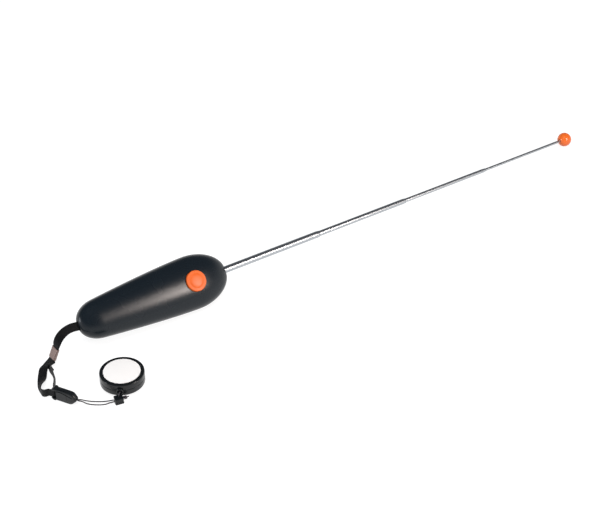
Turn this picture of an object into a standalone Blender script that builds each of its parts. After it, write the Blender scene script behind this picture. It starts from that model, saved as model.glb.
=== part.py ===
"""A dog target stick: a telescoping rod with a ball tip, drawn out of a handle that holds a clicker.

A wrist strap leaves the handle's tail, and a small retractable reel hangs from the strap's buckle.
Units are metres and +Z is up. The stick lies as it is photographed: drawn out to its full length,
resting on the handle's belly and on its ball, with the reel lying on its belt clip. The origin is
on the belt clip's flat face, under the reel's centre, and the rod points along +X.
"""

import math
from dataclasses import dataclass

import bmesh
import bpy
from mathutils import Euler, Matrix, Vector

COLLECTION = "dog_target_stick"
CUTTERS = "cutters"

# Clearances
GAP = 0.0003  # between pieces that touch on the real product
SWEEP = 0.001  # how far a cutter runs past the face that it opens
TINY = 1e-6

# Telescoping rod, from the base tube in the handle to the tip rod
SECTION_STEP = 0.120  # length that each drawn-out section shows
FIRST_EXTRA = 0.0035  # how much more of the first section shows
SECTIONS = 4
STUB = 0.0015  # what stays out of each section when it is pushed home
TIP_ROD_DIAMETER = 0.0032
TUBE_WALL = 0.0003
SLEEVE_WALL = 0.0002
RUN_GAP = 0.0001
SLEEVE_LENGTH = 0.010
NECK_LENGTH = 0.0025
NECK_TAPER = 0.0008
NECK_GAP = 0.00015
ROD_SIDES = 16
PLUG_LENGTH = 0.0022
END_PLAY = 0.0013
BASE_MOUTH = 0.0043  # how far behind the handle's face the base tube starts

# Ball
BALL_DIAMETER = 0.0166
BALL_BORE_DEPTH = 0.0063
BALL_SIDES = 24
BALL_RINGS = 14

# Handle, measured back from its nose face
TAIL_ROOM = 0.0309  # room behind the base tube for the tail screw and the strap pin
HALF_WIDTH = 0.0281
HALF_THICKNESS = 0.018
SHOULDER = 0.040  # where the handle is at its widest
NOSE_CAP = SHOULDER * 1.05
TAIL_CAP = 0.023
TAIL_FULLNESS = 2.3
TAPER_WIDTH = 0.0105
TAPER_THICKNESS = 0.0055
TAPER_POWER = 1.4
SECTION_POWER = 2.3
HALF_STEPS = 19
NOSE_STEPS = 8
BODY_STEPS = 6
TAIL_STEPS = 8
CHAMBER_STEPS = 6
SHELL_WALL = 0.0022
SEAM_GAP = 0.0003
NOSE_BLOCK = 0.009
WEB = 0.0024

# Case screws
SCREW_SHANK = 0.00125
SCREW_LENGTH = 0.018
SCREW_HEAD = 0.0025
SCREW_HEAD_HEIGHT = 0.0014
SCREW_DEPTH = 0.0032  # how far the head's seat lies below the shell's surface
BOSS_WALL = 0.001
FRONT_SCREW_X = 0.026
FRONT_SCREW_SIDE = 0.015
MIDDLE_SCREW_SIDE = 0.014
SCREW_SIDES = 12

# Clicker
BUTTON_X = 0.042
BUTTON_RADIUS = 0.0108
BUTTON_RISE = 0.0036  # of the dome above the shell
BUTTON_RIM_DROP = 0.0013
BUTTON_WALL = 0.0015
BUTTON_FLANGE = 0.0017
BUTTON_SIDES = 32
SEAT_DEPTH = 0.0038  # of the seat that stops the button's flange, below the shell's top
SEAT_LIP = 0.0024
STEM_RADIUS = 0.0025
BLADE_THICKNESS = 0.0004
BLADE_WIDTH = 0.012
BLADE_FRONT = 0.014  # blade past the button's centre
BLADE_TAIL = 0.002  # blade behind its rivets
RIVET_BACK = 0.020  # rivets behind the button's centre
RIVET_SIDE = 0.0035
RIVET_SHANK = 0.0008
RIVET_HEAD = 0.0014
RIVET_HEAD_HEIGHT = 0.0007
RIVET_LENGTH = 0.0038
RIVET_GAP = 0.00035
BLOCK_HEIGHT = 0.0050
BLOCK_WIDTH = 0.020
BLOCK_BACK = 0.004
BLOCK_FRONT = 0.0018
BLOCK_FOOT = 0.0008
FRONT_WEB_GAP = 0.0056
REAR_CHAMBER = 0.0138  # from the middle web to the one behind the base tube

# Rest pose
ROLL = math.radians(50.0)  # turns the button towards the front
TAIL_PLACE = Vector((-0.0084, 0.0686))
TAIL_SCREW_BACK = 0.019  # of the tail screw from the handle's tail
PIN_BACK = 0.008
PIN_ROOM = 0.0019  # how far the tail chamber runs past the pin

# Wrist strap
RIBBON_WIDTH = 0.0088
RIBBON_THICKNESS = 0.0007
PIN_RADIUS = 0.0015
PIN_SEAT = 0.0009  # how deep the pin's ends sit in the shell's side walls
WRAP_LEAD = 0.0032  # how far past the pin the two runs still lie apart
WRAP_SHARE = 0.62  # of their distance on the pin that they keep there
SLOT_LEAD = 0.0020  # how far before the tail the two runs lie side by side
RIBBON_LOOSENESS = 1.3  # how much further apart the runs lie above the crimp than in it
SLOT_SIDE = 0.0005
SLOT_HALF_HEIGHT = 0.0023
CRIMP_LENGTH = 0.0122
CRIMP_WALL = 0.0004
RIBBON_STEPS = 4

# Buckle, standing on its narrow edge
BUCKLE_PLACE = Vector((-0.0577, 0.0095))
BUCKLE_TURN = math.radians(-61.0)
BUCKLE_HEIGHT = 0.014
BUCKLE_THICKNESS = 0.007
SOCKET_START = -0.0135
SOCKET_END = 0.004
HEAD_END = 0.0145
BUCKLE_CHAMFER = 0.0028
BUCKLE_FACE = 0.0015  # thickness of the socket's two face plates
FORK_START = -0.006
FORK_ARM = 0.0032
FORK_GUIDE = 0.0030
FORK_ROOT = 0.0022  # how far the slits stay clear of the plug's head
STRAP_BAR_X = -0.0113
STRAP_BAR_RADIUS = 0.0011
STRAP_WINDOW_END = -0.0074

# Loop cord, bead and knot
CORD_DIAMETER = 0.0012
CORD_STEPS = 4
BEAD_PLACE = Vector((-0.0170, -0.0222))
BEAD_TURN = math.radians(-12.0)
BEAD_SIZE = Vector((0.0086, 0.0074, 0.0065))
BEAD_ROUND = 0.0011
KNOT_RADIUS = 0.0018
KNOT_LENGTH = 0.0055
KNOT_HEIGHT = 0.004

# Reel, lying on its belt clip
REEL_RADIUS = 0.0218
REEL_THICKNESS = 0.0126
REEL_EDGE = 0.0014
REEL_SIDES = 40
CASE_WALL = 0.0016
LID_THICKNESS = 0.0014
LABEL_RADIUS = 0.0180
LABEL_THICKNESS = 0.00045
LABEL_SUNK = 0.00005
SPOOL_RADIUS = 0.0178
SPOOL_FLANGE = 0.0008
HUB_RADIUS = 0.0090
HUB_WALL = 0.0010
SPOOL_SIDES = 24
WINDING_RADIUS = 0.0155
POST_RADIUS = 0.0026
SPRING_TURNS = 5
SPRING_STEPS = 14
SPRING_STRIP = 0.0003
CLIP_PLATE = 0.0006
CLIP_SLOT = 0.0011
CLIP_LENGTH = 0.034
CLIP_WIDTH = 0.012
CLIP_TONGUE = 0.006  # upper plate past the rivet
REEL_RIVET_RADIUS = 0.0015
REEL_RIVET_HEAD = 0.0023
REEL_RIVET_LOWER_HEAD = 0.00045
REEL_RIVET_UPPER_HEAD = 0.0006
NOZZLE_TURN = math.radians(234.2)
NOZZLE_RADIUS = 0.0026
NOZZLE_FLANGE = 0.0034
NOZZLE_REACH = 0.0015  # of the nozzle's flange
NOZZLE_SIDES = 16


@dataclass
class Stage:
    """One length of the telescoping rod, measured forward from the handle's nose face."""

    outer: float
    bore: float
    inner_end: float
    mouth: float


def stages():
    """Gives the base tube, the drawn-out tubes and the tip rod, from the handle outwards."""
    step = 2 * (SLEEVE_WALL + 2 * RUN_GAP + TUBE_WALL)
    overlap = NECK_LENGTH + GAP + SLEEVE_LENGTH
    travel = SECTION_STEP - STUB
    found = []
    mouth = -BASE_MOUTH
    for index in range(SECTIONS + 1):
        outer = TIP_ROD_DIAMETER + step * (SECTIONS - index)
        if index == 0:
            inner_end = mouth - overlap - travel - END_PLAY - PLUG_LENGTH
        else:
            inner_end = mouth - overlap
            mouth = SECTION_STEP * index + FIRST_EXTRA
        found.append(Stage(outer, outer - 2 * TUBE_WALL, inner_end, mouth))
    found[-1].mouth += BALL_BORE_DEPTH - GAP
    return found


STAGES = stages()
BASE = STAGES[0]
HANDLE_LENGTH = TAIL_ROOM - BASE.inner_end
BALL_X = SECTION_STEP * SECTIONS + FIRST_EXTRA + BALL_DIAMETER / 2
REAR_WEB = GAP - BASE.inner_end
BLADE_HINGE_X = BUTTON_X + RIVET_BACK
FRONT_WEB = BLADE_HINGE_X + BLOCK_BACK + FRONT_WEB_GAP
MIDDLE_WEB = REAR_WEB - REAR_CHAMBER
CHANNEL_RADIUS = BASE.outer / 2 + GAP
BLOCK_TOP = BASE.outer / 2 + BLOCK_HEIGHT - GAP / 2
BLADE_UNDERSIDE = BLOCK_TOP + RIVET_GAP
BLADE_TOP = BLADE_UNDERSIDE + BLADE_THICKNESS
SEAT_Z = HALF_THICKNESS - SEAT_DEPTH
COUNTERBORE = SCREW_HEAD + GAP
BOSS_RADIUS = COUNTERBORE + BOSS_WALL

CASE_BASE = 2 * CLIP_PLATE + CLIP_SLOT + GAP
CASE_TOP = CASE_BASE + REEL_THICKNESS
CASE_SPLIT = (CASE_BASE + CASE_TOP) / 2
CASE_FLOOR = CASE_BASE + CASE_WALL
LABEL_FLOOR = CASE_TOP - LABEL_SUNK - LABEL_THICKNESS - GAP
CASE_CEILING = LABEL_FLOOR - LID_THICKNESS
RIVET_TOP = CASE_FLOOR + GAP + REEL_RIVET_UPPER_HEAD
SPOOL_BASE = RIVET_TOP + GAP
SPOOL_TOP = 2 * CASE_SPLIT - SPOOL_BASE


def signed_power(value, power):
    """Raises a number's size to a power and keeps its sign."""
    return math.copysign(abs(value) ** power, value)


def handle_halves(distance):
    """Gives the handle's half width and half thickness at a distance behind its nose face."""
    taper = max(0.0, (distance - SHOULDER) / (HANDLE_LENGTH - SHOULDER)) ** TAPER_POWER
    cap = 1.0
    if distance < SHOULDER:
        cap = math.sqrt(1 - ((SHOULDER - distance) / NOSE_CAP) ** 2)
    tail = distance - (HANDLE_LENGTH - TAIL_CAP)
    if tail > 0:
        cap = max(0.0, 1 - (tail / TAIL_CAP) ** TAIL_FULLNESS) ** (1 / TAIL_FULLNESS)
    return (HALF_WIDTH - TAPER_WIDTH * taper) * cap, (HALF_THICKNESS - TAPER_THICKNESS * taper) * cap


def surface_height(distance, side):
    """Gives the height of the handle's surface above its seam, at a distance back and to the side."""
    width, thickness = handle_halves(distance)
    return thickness * (1 - abs(side / width) ** SECTION_POWER) ** (1 / SECTION_POWER)


def handle_stations():
    """Gives the distances behind the nose face at which the handle's section is drawn."""
    start = math.acos(SHOULDER / NOSE_CAP)
    found = []
    for step in range(NOSE_STEPS):
        angle = start + (math.pi / 2 - start) * step / NOSE_STEPS
        found.append(SHOULDER - NOSE_CAP * math.cos(angle))
    body_end = HANDLE_LENGTH - TAIL_CAP
    for step in range(BODY_STEPS):
        found.append(SHOULDER + (body_end - SHOULDER) * step / BODY_STEPS)
    last = math.radians(87)
    for step in range(TAIL_STEPS + 1):
        found.append(body_end + TAIL_CAP * math.sin(last * step / TAIL_STEPS) ** (2 / TAIL_FULLNESS))
    return found


def half_section(distance, side, inset, lowest):
    """Gives the points of half of the handle's section, above the seam or, for side -1, below it."""
    width, thickness = handle_halves(distance)
    points = []
    for step in range(HALF_STEPS + 1):
        angle = math.pi * step / HALF_STEPS
        across = (width - inset) * signed_power(math.cos(angle), 2 / SECTION_POWER)
        up = (thickness - inset) * abs(math.sin(angle)) ** (2 / SECTION_POWER)
        points.append(Vector((-distance, across, side * max(up, lowest))))
    return points


def rest_pitch():
    """Gives the rod's tilt and the height of the nose face's centre, so that belly and ball lie on Z = 0."""
    heights = []
    for distance in handle_stations():
        for side in (1, -1):
            for point in half_section(distance, side, 0.0, SEAM_GAP / 2):
                heights.append((point.x, point.y * math.sin(ROLL) + point.z * math.cos(ROLL)))

    def lift(angle):
        lowest = min(-x * math.sin(angle) + k * math.cos(angle) for x, k in heights)
        return BALL_X * math.sin(angle) + BALL_DIAMETER / 2 + lowest

    low, high = 0.0, math.radians(10)
    for _ in range(60):
        middle = (low + high) / 2
        if lift(middle) < 0:
            low = middle
        else:
            high = middle
    return low, BALL_X * math.sin(low) + BALL_DIAMETER / 2


PITCH, NOSE_HEIGHT = rest_pitch()
NOSE_PLACE = Vector((TAIL_PLACE.x + HANDLE_LENGTH * math.cos(PITCH), TAIL_PLACE.y, NOSE_HEIGHT))
STICK_FRAME = Matrix.Translation(NOSE_PLACE) @ Euler((ROLL, PITCH, 0.0)).to_matrix().to_4x4()
BUCKLE_FRAME = (
    Matrix.Translation((BUCKLE_PLACE.x, BUCKLE_PLACE.y, 0.0))
    @ Matrix.Rotation(BUCKLE_TURN, 4, "Z")
    @ Matrix.Rotation(math.pi / 2, 4, "X")
)
BEAD_FRAME = Matrix.Translation((BEAD_PLACE.x, BEAD_PLACE.y, 0.0)) @ Matrix.Rotation(BEAD_TURN, 4, "Z")
ALONG_X = Matrix.Rotation(math.pi / 2, 4, "Y")
ALONG_Y = Matrix.Rotation(-math.pi / 2, 4, "X")


def clear_scene():
    """Removes what the startup scene holds."""
    for old in list(bpy.data.objects):
        bpy.data.objects.remove(old)


def new_collection(name):
    """Adds a collection to the scene."""
    found = bpy.data.collections.new(name)
    bpy.context.scene.collection.children.link(found)
    return found


def paint(name, colour, roughness, metallic=0.0):
    """Makes a material from an sRGB colour written as six hex digits."""
    made = bpy.data.materials.new(name)
    made.use_nodes = True
    shader = made.node_tree.nodes["Principled BSDF"]
    channels = [int(colour[i : i + 2], 16) / 255 for i in (0, 2, 4)]
    linear = [c / 12.92 if c <= 0.04045 else ((c + 0.055) / 1.055) ** 2.4 for c in channels]
    shader.inputs["Base Color"].default_value = (*linear, 1.0)
    shader.inputs["Roughness"].default_value = roughness
    shader.inputs["Metallic"].default_value = metallic
    made.diffuse_color = (*linear, 1.0)
    return made


def add(name, data, parent=None, place=Matrix.Identity(4), material=None, cutter=False):
    """Adds an object to the model's collection, or to the cutters'."""
    made = bpy.data.objects.new(name, data)
    bpy.data.collections[CUTTERS if cutter else COLLECTION].objects.link(made)
    made.parent = parent
    made.matrix_local = place
    if material:
        data.materials.append(material)
    if cutter:
        made.hide_render = True
        made.display_type = "WIRE"
    return made


def turned(name, profile, sides, closed=False, **options):
    """Makes a turned piece from a profile of (radius, height) that runs down its outer side."""
    mesh = bpy.data.meshes.new(name)
    edges = [(i, i + 1) for i in range(len(profile) - 1)]
    if closed:
        edges.append((len(profile) - 1, 0))
    mesh.from_pydata([(radius, 0, height) for radius, height in profile], edges, [])
    made = add(name, mesh, **options)
    turn = made.modifiers.new("turn", "SCREW")
    turn.steps = turn.render_steps = sides
    turn.use_merge_vertices = True
    turn.merge_threshold = 1e-5
    return made


def rod(name, radius, bottom, top, sides=ROD_SIDES, **options):
    """Makes a plain round bar between two heights."""
    return turned(name, [(0, top), (radius, top), (radius, bottom), (0, bottom)], sides, **options)


def block(name, low, high, **options):
    """Makes a box between two corners."""
    made = bmesh.new()
    bmesh.ops.create_cube(made, size=1.0)
    size = Vector(high) - Vector(low)
    centre = (Vector(high) + Vector(low)) / 2
    bmesh.ops.transform(made, matrix=Matrix.Translation(centre) @ Matrix.Diagonal((*size, 1)), verts=made.verts)
    return add(name, finished_mesh(name, made), **options)


def finished_mesh(name, work):
    """Turns a bmesh into a mesh whose faces point out."""
    bmesh.ops.recalc_face_normals(work, faces=work.faces)
    mesh = bpy.data.meshes.new(name)
    work.to_mesh(mesh)
    work.free()
    return mesh


def evaluated_mesh(source):
    """Gives a piece's mesh with its modifiers or its bevel worked in."""
    bpy.context.view_layer.update()
    graph = bpy.context.evaluated_depsgraph_get()
    return bpy.data.meshes.new_from_object(source.evaluated_get(graph))


def plate(name, outline, low, high, **options):
    """Makes a flat plate from an outline in X and Y, between two heights."""
    curve = bpy.data.curves.new(name, "CURVE")
    curve.dimensions = "2D"
    curve.fill_mode = "BOTH"
    curve.extrude = (high - low) / 2
    spline = curve.splines.new("POLY")
    spline.points.add(len(outline) - 1)
    for point, (x, y) in zip(spline.points, outline):
        point.co = (x, y, 0, 1)
    spline.use_cyclic_u = True
    guide = bpy.data.objects.new(name, curve)
    bpy.context.scene.collection.objects.link(guide)
    work = bmesh.new()
    work.from_mesh(evaluated_mesh(guide))
    bpy.data.objects.remove(guide)
    bmesh.ops.remove_doubles(work, verts=work.verts, dist=TINY)
    bmesh.ops.transform(work, matrix=Matrix.Translation((0, 0, (high + low) / 2)), verts=work.verts)
    return add(name, finished_mesh(name, work), **options)


def repeated(source, places):
    """Turns one guide into a group of the same solid, with one at each place."""
    mesh = evaluated_mesh(source)
    work = bmesh.new()
    for place in places:
        before = len(work.verts)
        work.from_mesh(mesh)
        work.verts.ensure_lookup_table()
        bmesh.ops.transform(work, matrix=place, verts=work.verts[before:])
    source.modifiers.clear()
    work.to_mesh(source.data)
    work.free()
    return source


def loft(name, rings, **options):
    """Makes a solid through rings of points, closed at both ends."""
    work = bmesh.new()
    drawn = [[work.verts.new(point) for point in ring] for ring in rings]
    count = len(drawn[0])
    for near, far in zip(drawn, drawn[1:]):
        for i in range(count):
            work.faces.new((near[i], near[(i + 1) % count], far[(i + 1) % count], far[i]))
    work.faces.new(drawn[0])
    work.faces.new(reversed(drawn[-1]))
    return add(name, finished_mesh(name, work), **options)


def combine(target, tool, operation="DIFFERENCE"):
    """Cuts the target with a tool, or joins the tool to it."""
    step = target.modifiers.new(operation.lower(), "BOOLEAN")
    step.operation = operation
    step.object = tool


def union_body(target, tool):
    """Joins a tool to the target for good and removes the tool."""
    combine(target, tool, "UNION")
    mesh = evaluated_mesh(target)
    target.modifiers.clear()
    target.data = mesh
    bpy.data.objects.remove(tool)


def smooth_route(points, steps):
    """Reads points from a smooth curve through a route's own points."""
    route = [Vector(point) for point in points]
    padded = [2 * route[0] - route[1], *route, 2 * route[-1] - route[-2]]
    found = []
    for a, b, c, d in zip(padded, padded[1:], padded[2:], padded[3:]):
        for step in range(steps):
            t = step / steps
            found.append(
                0.5 * (2 * b + (c - a) * t + (2 * a - 5 * b + 4 * c - d) * t**2 + (3 * b - a - 3 * c + d) * t**3)
            )
    found.append(route[-1])
    return found


def cord(name, points, **options):
    """Makes a round cord along a route."""
    curve = bpy.data.curves.new(name, "CURVE")
    curve.dimensions = "3D"
    curve.bevel_depth = CORD_DIAMETER / 2
    curve.bevel_resolution = 2
    curve.use_fill_caps = True
    spline = curve.splines.new("POLY")
    spline.points.add(len(points) - 1)
    for place, point in zip(spline.points, points):
        place.co = (*point, 1)
    return add(name, curve, **options)


class Paints:
    """The materials, one for each piece's own stuff."""

    def __init__(self):
        self.shell = paint("handle_abs", "262E36", 0.35)
        self.button = paint("button_abs", "F07A3C", 0.3)
        self.ball = paint("ball_abs", "F0641E", 0.25)
        self.steel = paint("plated_steel", "C9CCD0", 0.12, 1.0)
        self.sleeve = paint("spring_bronze", "B58A54", 0.35, 1.0)
        self.spring_steel = paint("blue_spring_steel", "8A9098", 0.3, 1.0)
        self.moulded = paint("natural_nylon", "D8D6CC", 0.5)
        self.zinc = paint("zinc_steel", "A9ADB2", 0.35, 1.0)
        self.webbing = paint("polyester_webbing", "15181B", 0.85)
        self.crimp = paint("crimp_metal", "C7A9A4", 0.3, 1.0)
        self.acetal = paint("black_acetal", "1B2023", 0.4)
        self.cord = paint("nylon_cord", "26282B", 0.7)
        self.reel = paint("reel_abs", "23292D", 0.22)
        self.label = paint("white_label", "FBFBFB", 0.3)


def add_shell_cutters(frame):
    """Adds the cutters that hollow the handle's shells, and gives them by name."""
    guides = {"parent": frame, "cutter": True}
    boss_places = []
    for distance, side in screw_spots():
        boss_places.append(Matrix.Translation((-distance, side, 0)))
    tall = HALF_THICKNESS + SWEEP
    bosses = repeated(rod("boss_guides", BOSS_RADIUS, -tall, tall, SCREW_SIDES * 2, **guides), boss_places)
    seat_radius = BUTTON_RADIUS + GAP + SEAT_LIP
    at_button = Matrix.Translation((-BUTTON_X, 0, 0))
    seat = rod("seat_guide", seat_radius, SEAT_Z, tall, BUTTON_SIDES, place=at_button, **guides)
    found = {}
    chambers = (
        (NOSE_BLOCK, FRONT_WEB),
        (FRONT_WEB + WEB, MIDDLE_WEB),
        (MIDDLE_WEB + WEB, REAR_WEB),
        (REAR_WEB + WEB, HANDLE_LENGTH - PIN_BACK + PIN_ROOM),
    )
    for side, half in ((1, "top"), (-1, "bottom")):
        for index, (start, end) in enumerate(chambers):
            rings = []
            for step in range(CHAMBER_STEPS + 1):
                distance = start + (end - start) * step / CHAMBER_STEPS
                ring = half_section(distance, side, SHELL_WALL, 0.0)
                for corner in (ring[-1], ring[0]):
                    ring.append(Vector((corner.x, corner.y, -side * SWEEP)))
                rings.append(ring)
            chamber = loft(f"{half}_chamber_{index}", rings, **guides)
            combine(chamber, bosses)
            if side == 1 and index == 0:
                combine(chamber, seat)
            found[half, index] = chamber
    channel = [
        (0, SWEEP),
        (STAGES[1].outer / 2 + GAP, SWEEP),
        (STAGES[1].outer / 2 + GAP, GAP - BASE_MOUTH),
        (CHANNEL_RADIUS, GAP - BASE_MOUTH),
        (CHANNEL_RADIUS, -REAR_WEB),
        (0, -REAR_WEB),
    ]
    found["channel"] = turned("rod_channel", channel, ROD_SIDES, place=ALONG_X, **guides)
    opening = BUTTON_RADIUS + GAP
    found["button"] = rod("button_opening", opening, SEAT_Z - SWEEP, tall, BUTTON_SIDES, place=at_button, **guides)
    bore = SCREW_SHANK + GAP
    hole = [
        (0, SCREW_LENGTH + GAP),
        (bore, SCREW_LENGTH + GAP),
        (bore, 0),
        (COUNTERBORE, 0),
        (COUNTERBORE, -HALF_THICKNESS),
        (0, -HALF_THICKNESS),
    ]
    found["screws"] = repeated(turned("screw_holes", hole, SCREW_SIDES, **guides), screw_places())
    low = (-HANDLE_LENGTH - SWEEP, -RIBBON_WIDTH / 2 - SLOT_SIDE, -SLOT_HALF_HEIGHT)
    high = (-HANDLE_LENGTH + PIN_BACK, RIBBON_WIDTH / 2 + SLOT_SIDE, SLOT_HALF_HEIGHT)
    found["slot"] = block("strap_slot", low, high, **guides)
    reach = pin_reach() + GAP
    pin_place = Matrix.Translation((PIN_BACK - HANDLE_LENGTH, 0, 0)) @ ALONG_Y
    found["pin"] = rod("pin_sockets", PIN_RADIUS + GAP, -reach, reach, place=pin_place, **guides)
    return found


def pin_reach():
    """Gives half the strap pin's length, which ends inside the shell's side walls."""
    width, _ = handle_halves(HANDLE_LENGTH - PIN_BACK)
    return width - SHELL_WALL + PIN_SEAT


def screw_spots():
    """Gives each case screw's distance behind the nose face and its offset to the side."""
    middle = (FRONT_WEB + WEB + MIDDLE_WEB) / 2
    return (
        (FRONT_SCREW_X, FRONT_SCREW_SIDE),
        (FRONT_SCREW_X, -FRONT_SCREW_SIDE),
        (middle, MIDDLE_SCREW_SIDE),
        (middle, -MIDDLE_SCREW_SIDE),
        (HANDLE_LENGTH - TAIL_SCREW_BACK, 0.0),
    )


def screw_places():
    """Gives the places of the case screws, at the seats of their heads."""
    found = []
    for distance, side in screw_spots():
        seat = SCREW_DEPTH - surface_height(distance, side)
        found.append(Matrix.Translation((-distance, side, seat)))
    return found


def add_handle(frame, paints):
    """Adds the two handle shells and the screws that hold them together."""
    cutters = add_shell_cutters(frame)
    for side, half in ((1, "top"), (-1, "bottom")):
        rings = [half_section(distance, side, 0.0, SEAM_GAP / 2) for distance in handle_stations()]
        shell = loft(f"handle_{half}_shell", rings, parent=frame, material=paints.shell)
        for key, cutter in cutters.items():
            other_half = isinstance(key, tuple) and key[0] != half
            if not other_half and not (key == "button" and side == -1):
                combine(shell, cutter)
    head = -GAP - SCREW_HEAD_HEIGHT
    screw = [
        (0, SCREW_LENGTH),
        (SCREW_SHANK, SCREW_LENGTH),
        (SCREW_SHANK, -GAP),
        (SCREW_HEAD, -GAP),
        (SCREW_HEAD, head + SCREW_HEAD_HEIGHT / 3),
        (SCREW_HEAD * 0.8, head),
        (SCREW_HEAD * 0.4, head),
        (0, head + SCREW_HEAD_HEIGHT / 2),
    ]
    for index, place in enumerate(screw_places(), 1):
        turned(f"case_screw_{index}", screw, SCREW_SIDES, parent=frame, place=place, material=paints.zinc)


def add_clicker(frame, paints):
    """Adds the button, the click blade, and the block and rivets that hold the blade."""
    stem_end = BLADE_TOP + GAP
    top = HALF_THICKNESS + BUTTON_RISE
    rim = top - BUTTON_RIM_DROP
    flange_top = SEAT_Z - GAP
    flange_base = flange_top - BUTTON_WALL
    radius = BUTTON_RADIUS
    button = [
        (0, top),
        (radius * 0.36, top - 0.00012),
        (radius * 0.62, top - 0.0005),
        (radius * 0.72, rim + 0.0001),
        (radius * 0.80, rim),
        (radius * 0.92, rim - 0.0002),
        (radius, rim - 0.0010),
        (radius, flange_top),
        (radius + BUTTON_FLANGE, flange_top),
        (radius + BUTTON_FLANGE, flange_base),
        (radius - BUTTON_WALL, flange_base),
        (radius - BUTTON_WALL, rim - BUTTON_WALL),
        (STEM_RADIUS, rim - BUTTON_WALL),
        (STEM_RADIUS, stem_end + 0.0005),
        (STEM_RADIUS * 0.6, stem_end + 0.00012),
        (0, stem_end),
    ]
    at_button = Matrix.Translation((-BUTTON_X, 0, 0))
    turned("click_button", button, BUTTON_SIDES, parent=frame, place=at_button, material=paints.button)

    hinge_height = (BLADE_UNDERSIDE + BLADE_TOP) / 2
    at_hinge = Matrix.Translation((-BLADE_HINGE_X, 0, hinge_height))
    front = RIVET_BACK + BLADE_FRONT
    half = BLADE_WIDTH / 2
    shoulder = front - half
    outline = [(-BLADE_TAIL, -half), (shoulder, -half)]
    for step in range(1, 8):
        angle = -math.pi / 2 + math.pi * step / 8
        outline.append((shoulder + half * math.cos(angle), half * math.sin(angle)))
    outline += [(shoulder, half), (-BLADE_TAIL, half)]
    blade = plate(
        "click_blade",
        outline,
        -BLADE_THICKNESS / 2,
        BLADE_THICKNESS / 2,
        parent=frame,
        place=at_hinge,
        material=paints.spring_steel,
    )
    rivet_spots = [Matrix.Translation((-BLADE_HINGE_X, side, 0)) for side in (RIVET_SIDE, -RIVET_SIDE)]
    hole = RIVET_SHANK + RIVET_GAP
    head_base = BLADE_TOP + RIVET_GAP
    foot = head_base - RIVET_LENGTH
    holes = rod("rivet_holes", hole, foot - GAP, head_base, SCREW_SIDES, parent=frame, cutter=True)
    combine(blade, repeated(holes, rivet_spots))
    rivet = [
        (0, head_base + RIVET_HEAD_HEIGHT),
        (RIVET_HEAD * 0.6, head_base + RIVET_HEAD_HEIGHT * 0.85),
        (RIVET_HEAD, head_base + RIVET_HEAD_HEIGHT * 0.3),
        (RIVET_HEAD, head_base),
        (RIVET_SHANK, head_base),
        (RIVET_SHANK, foot),
        (0, foot),
    ]
    for index, place in enumerate(rivet_spots, 1):
        turned(f"blade_rivet_{index}", rivet, SCREW_SIDES, parent=frame, place=place, material=paints.zinc)

    low = (-BLADE_HINGE_X - BLOCK_BACK, -BLOCK_WIDTH / 2, BLOCK_FOOT)
    high = (-BLADE_HINGE_X + BLOCK_FRONT, BLOCK_WIDTH / 2, BLOCK_TOP)
    saddle = block("click_block", low, high, parent=frame, material=paints.moulded)
    combine(saddle, holes)
    groove = rod(
        "saddle_groove", CHANNEL_RADIUS, low[0] - SWEEP, high[0] + SWEEP, parent=frame, place=ALONG_X, cutter=True
    )
    combine(saddle, groove)


def tube_profile(stage, inner_diameter):
    """Gives a tube's profile, with the crimped neck that the next section runs in."""
    outer = stage.outer / 2
    bore = stage.bore / 2
    neck_bore = inner_diameter / 2 + NECK_GAP
    neck_outer = neck_bore + TUBE_WALL
    mouth = stage.mouth
    neck = mouth - NECK_LENGTH
    return [
        (neck_outer, mouth),
        (neck_outer, neck + NECK_TAPER),
        (outer, neck),
        (outer, stage.inner_end),
        (bore, stage.inner_end),
        (bore, neck),
        (neck_bore, neck),
        (neck_bore, mouth),
    ]


def add_rod(frame, paints):
    """Adds the base tube, the sections that slide out of it, their glide sleeves and the ball."""
    options = {"parent": frame, "place": ALONG_X}
    names = ["base_tube"] + [f"section_{index}_tube" for index in range(1, SECTIONS)]
    for name, stage, inner in zip(names, STAGES, STAGES[1:]):
        turned(name, tube_profile(stage, inner.outer), ROD_SIDES, True, material=paints.steel, **options)
    tip = STAGES[-1]
    rod("tip_rod", tip.outer / 2, tip.inner_end, tip.mouth, material=paints.steel, **options)
    plug_top = BASE.inner_end + PLUG_LENGTH
    rod("base_tube_plug", BASE.bore / 2 - GAP, BASE.inner_end, plug_top, material=paints.moulded, **options)
    for index, stage in enumerate(STAGES[1:], 1):
        inside = stage.outer / 2 + RUN_GAP
        outside = inside + SLEEVE_WALL
        front = stage.inner_end + SLEEVE_LENGTH
        profile = [(outside, front), (outside, stage.inner_end), (inside, stage.inner_end), (inside, front)]
        turned(f"glide_sleeve_{index}", profile, ROD_SIDES, True, material=paints.sleeve, **options)

    radius = BALL_DIAMETER / 2
    bore = tip.outer / 2 + GAP
    bore_angle = math.asin(bore / radius)
    profile = []
    for step in range(BALL_RINGS + 1):
        angle = (math.pi - bore_angle) * step / BALL_RINGS
        profile.append((radius * math.sin(angle), BALL_X + radius * math.cos(angle)))
    bottom = BALL_X - radius + BALL_BORE_DEPTH
    profile += [(bore, bottom), (0, bottom)]
    turned("target_ball", profile, BALL_SIDES, material=paints.ball, **options)


def strap_wrap(centre, width_axis, forward, radius, side):
    """Gives a quarter turn of ribbon round a bar, from its far side to where the strap leaves it."""
    across = forward.cross(width_axis)
    start = math.asin(min(1.0, (RIBBON_THICKNESS / 2 + GAP / 2) / radius))
    found = []
    for step in range(4):
        angle = start + (math.pi / 2 - start) * step / 3
        found.append(centre - forward * radius * math.cos(angle) + across * side * radius * math.sin(angle))
    return found


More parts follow.
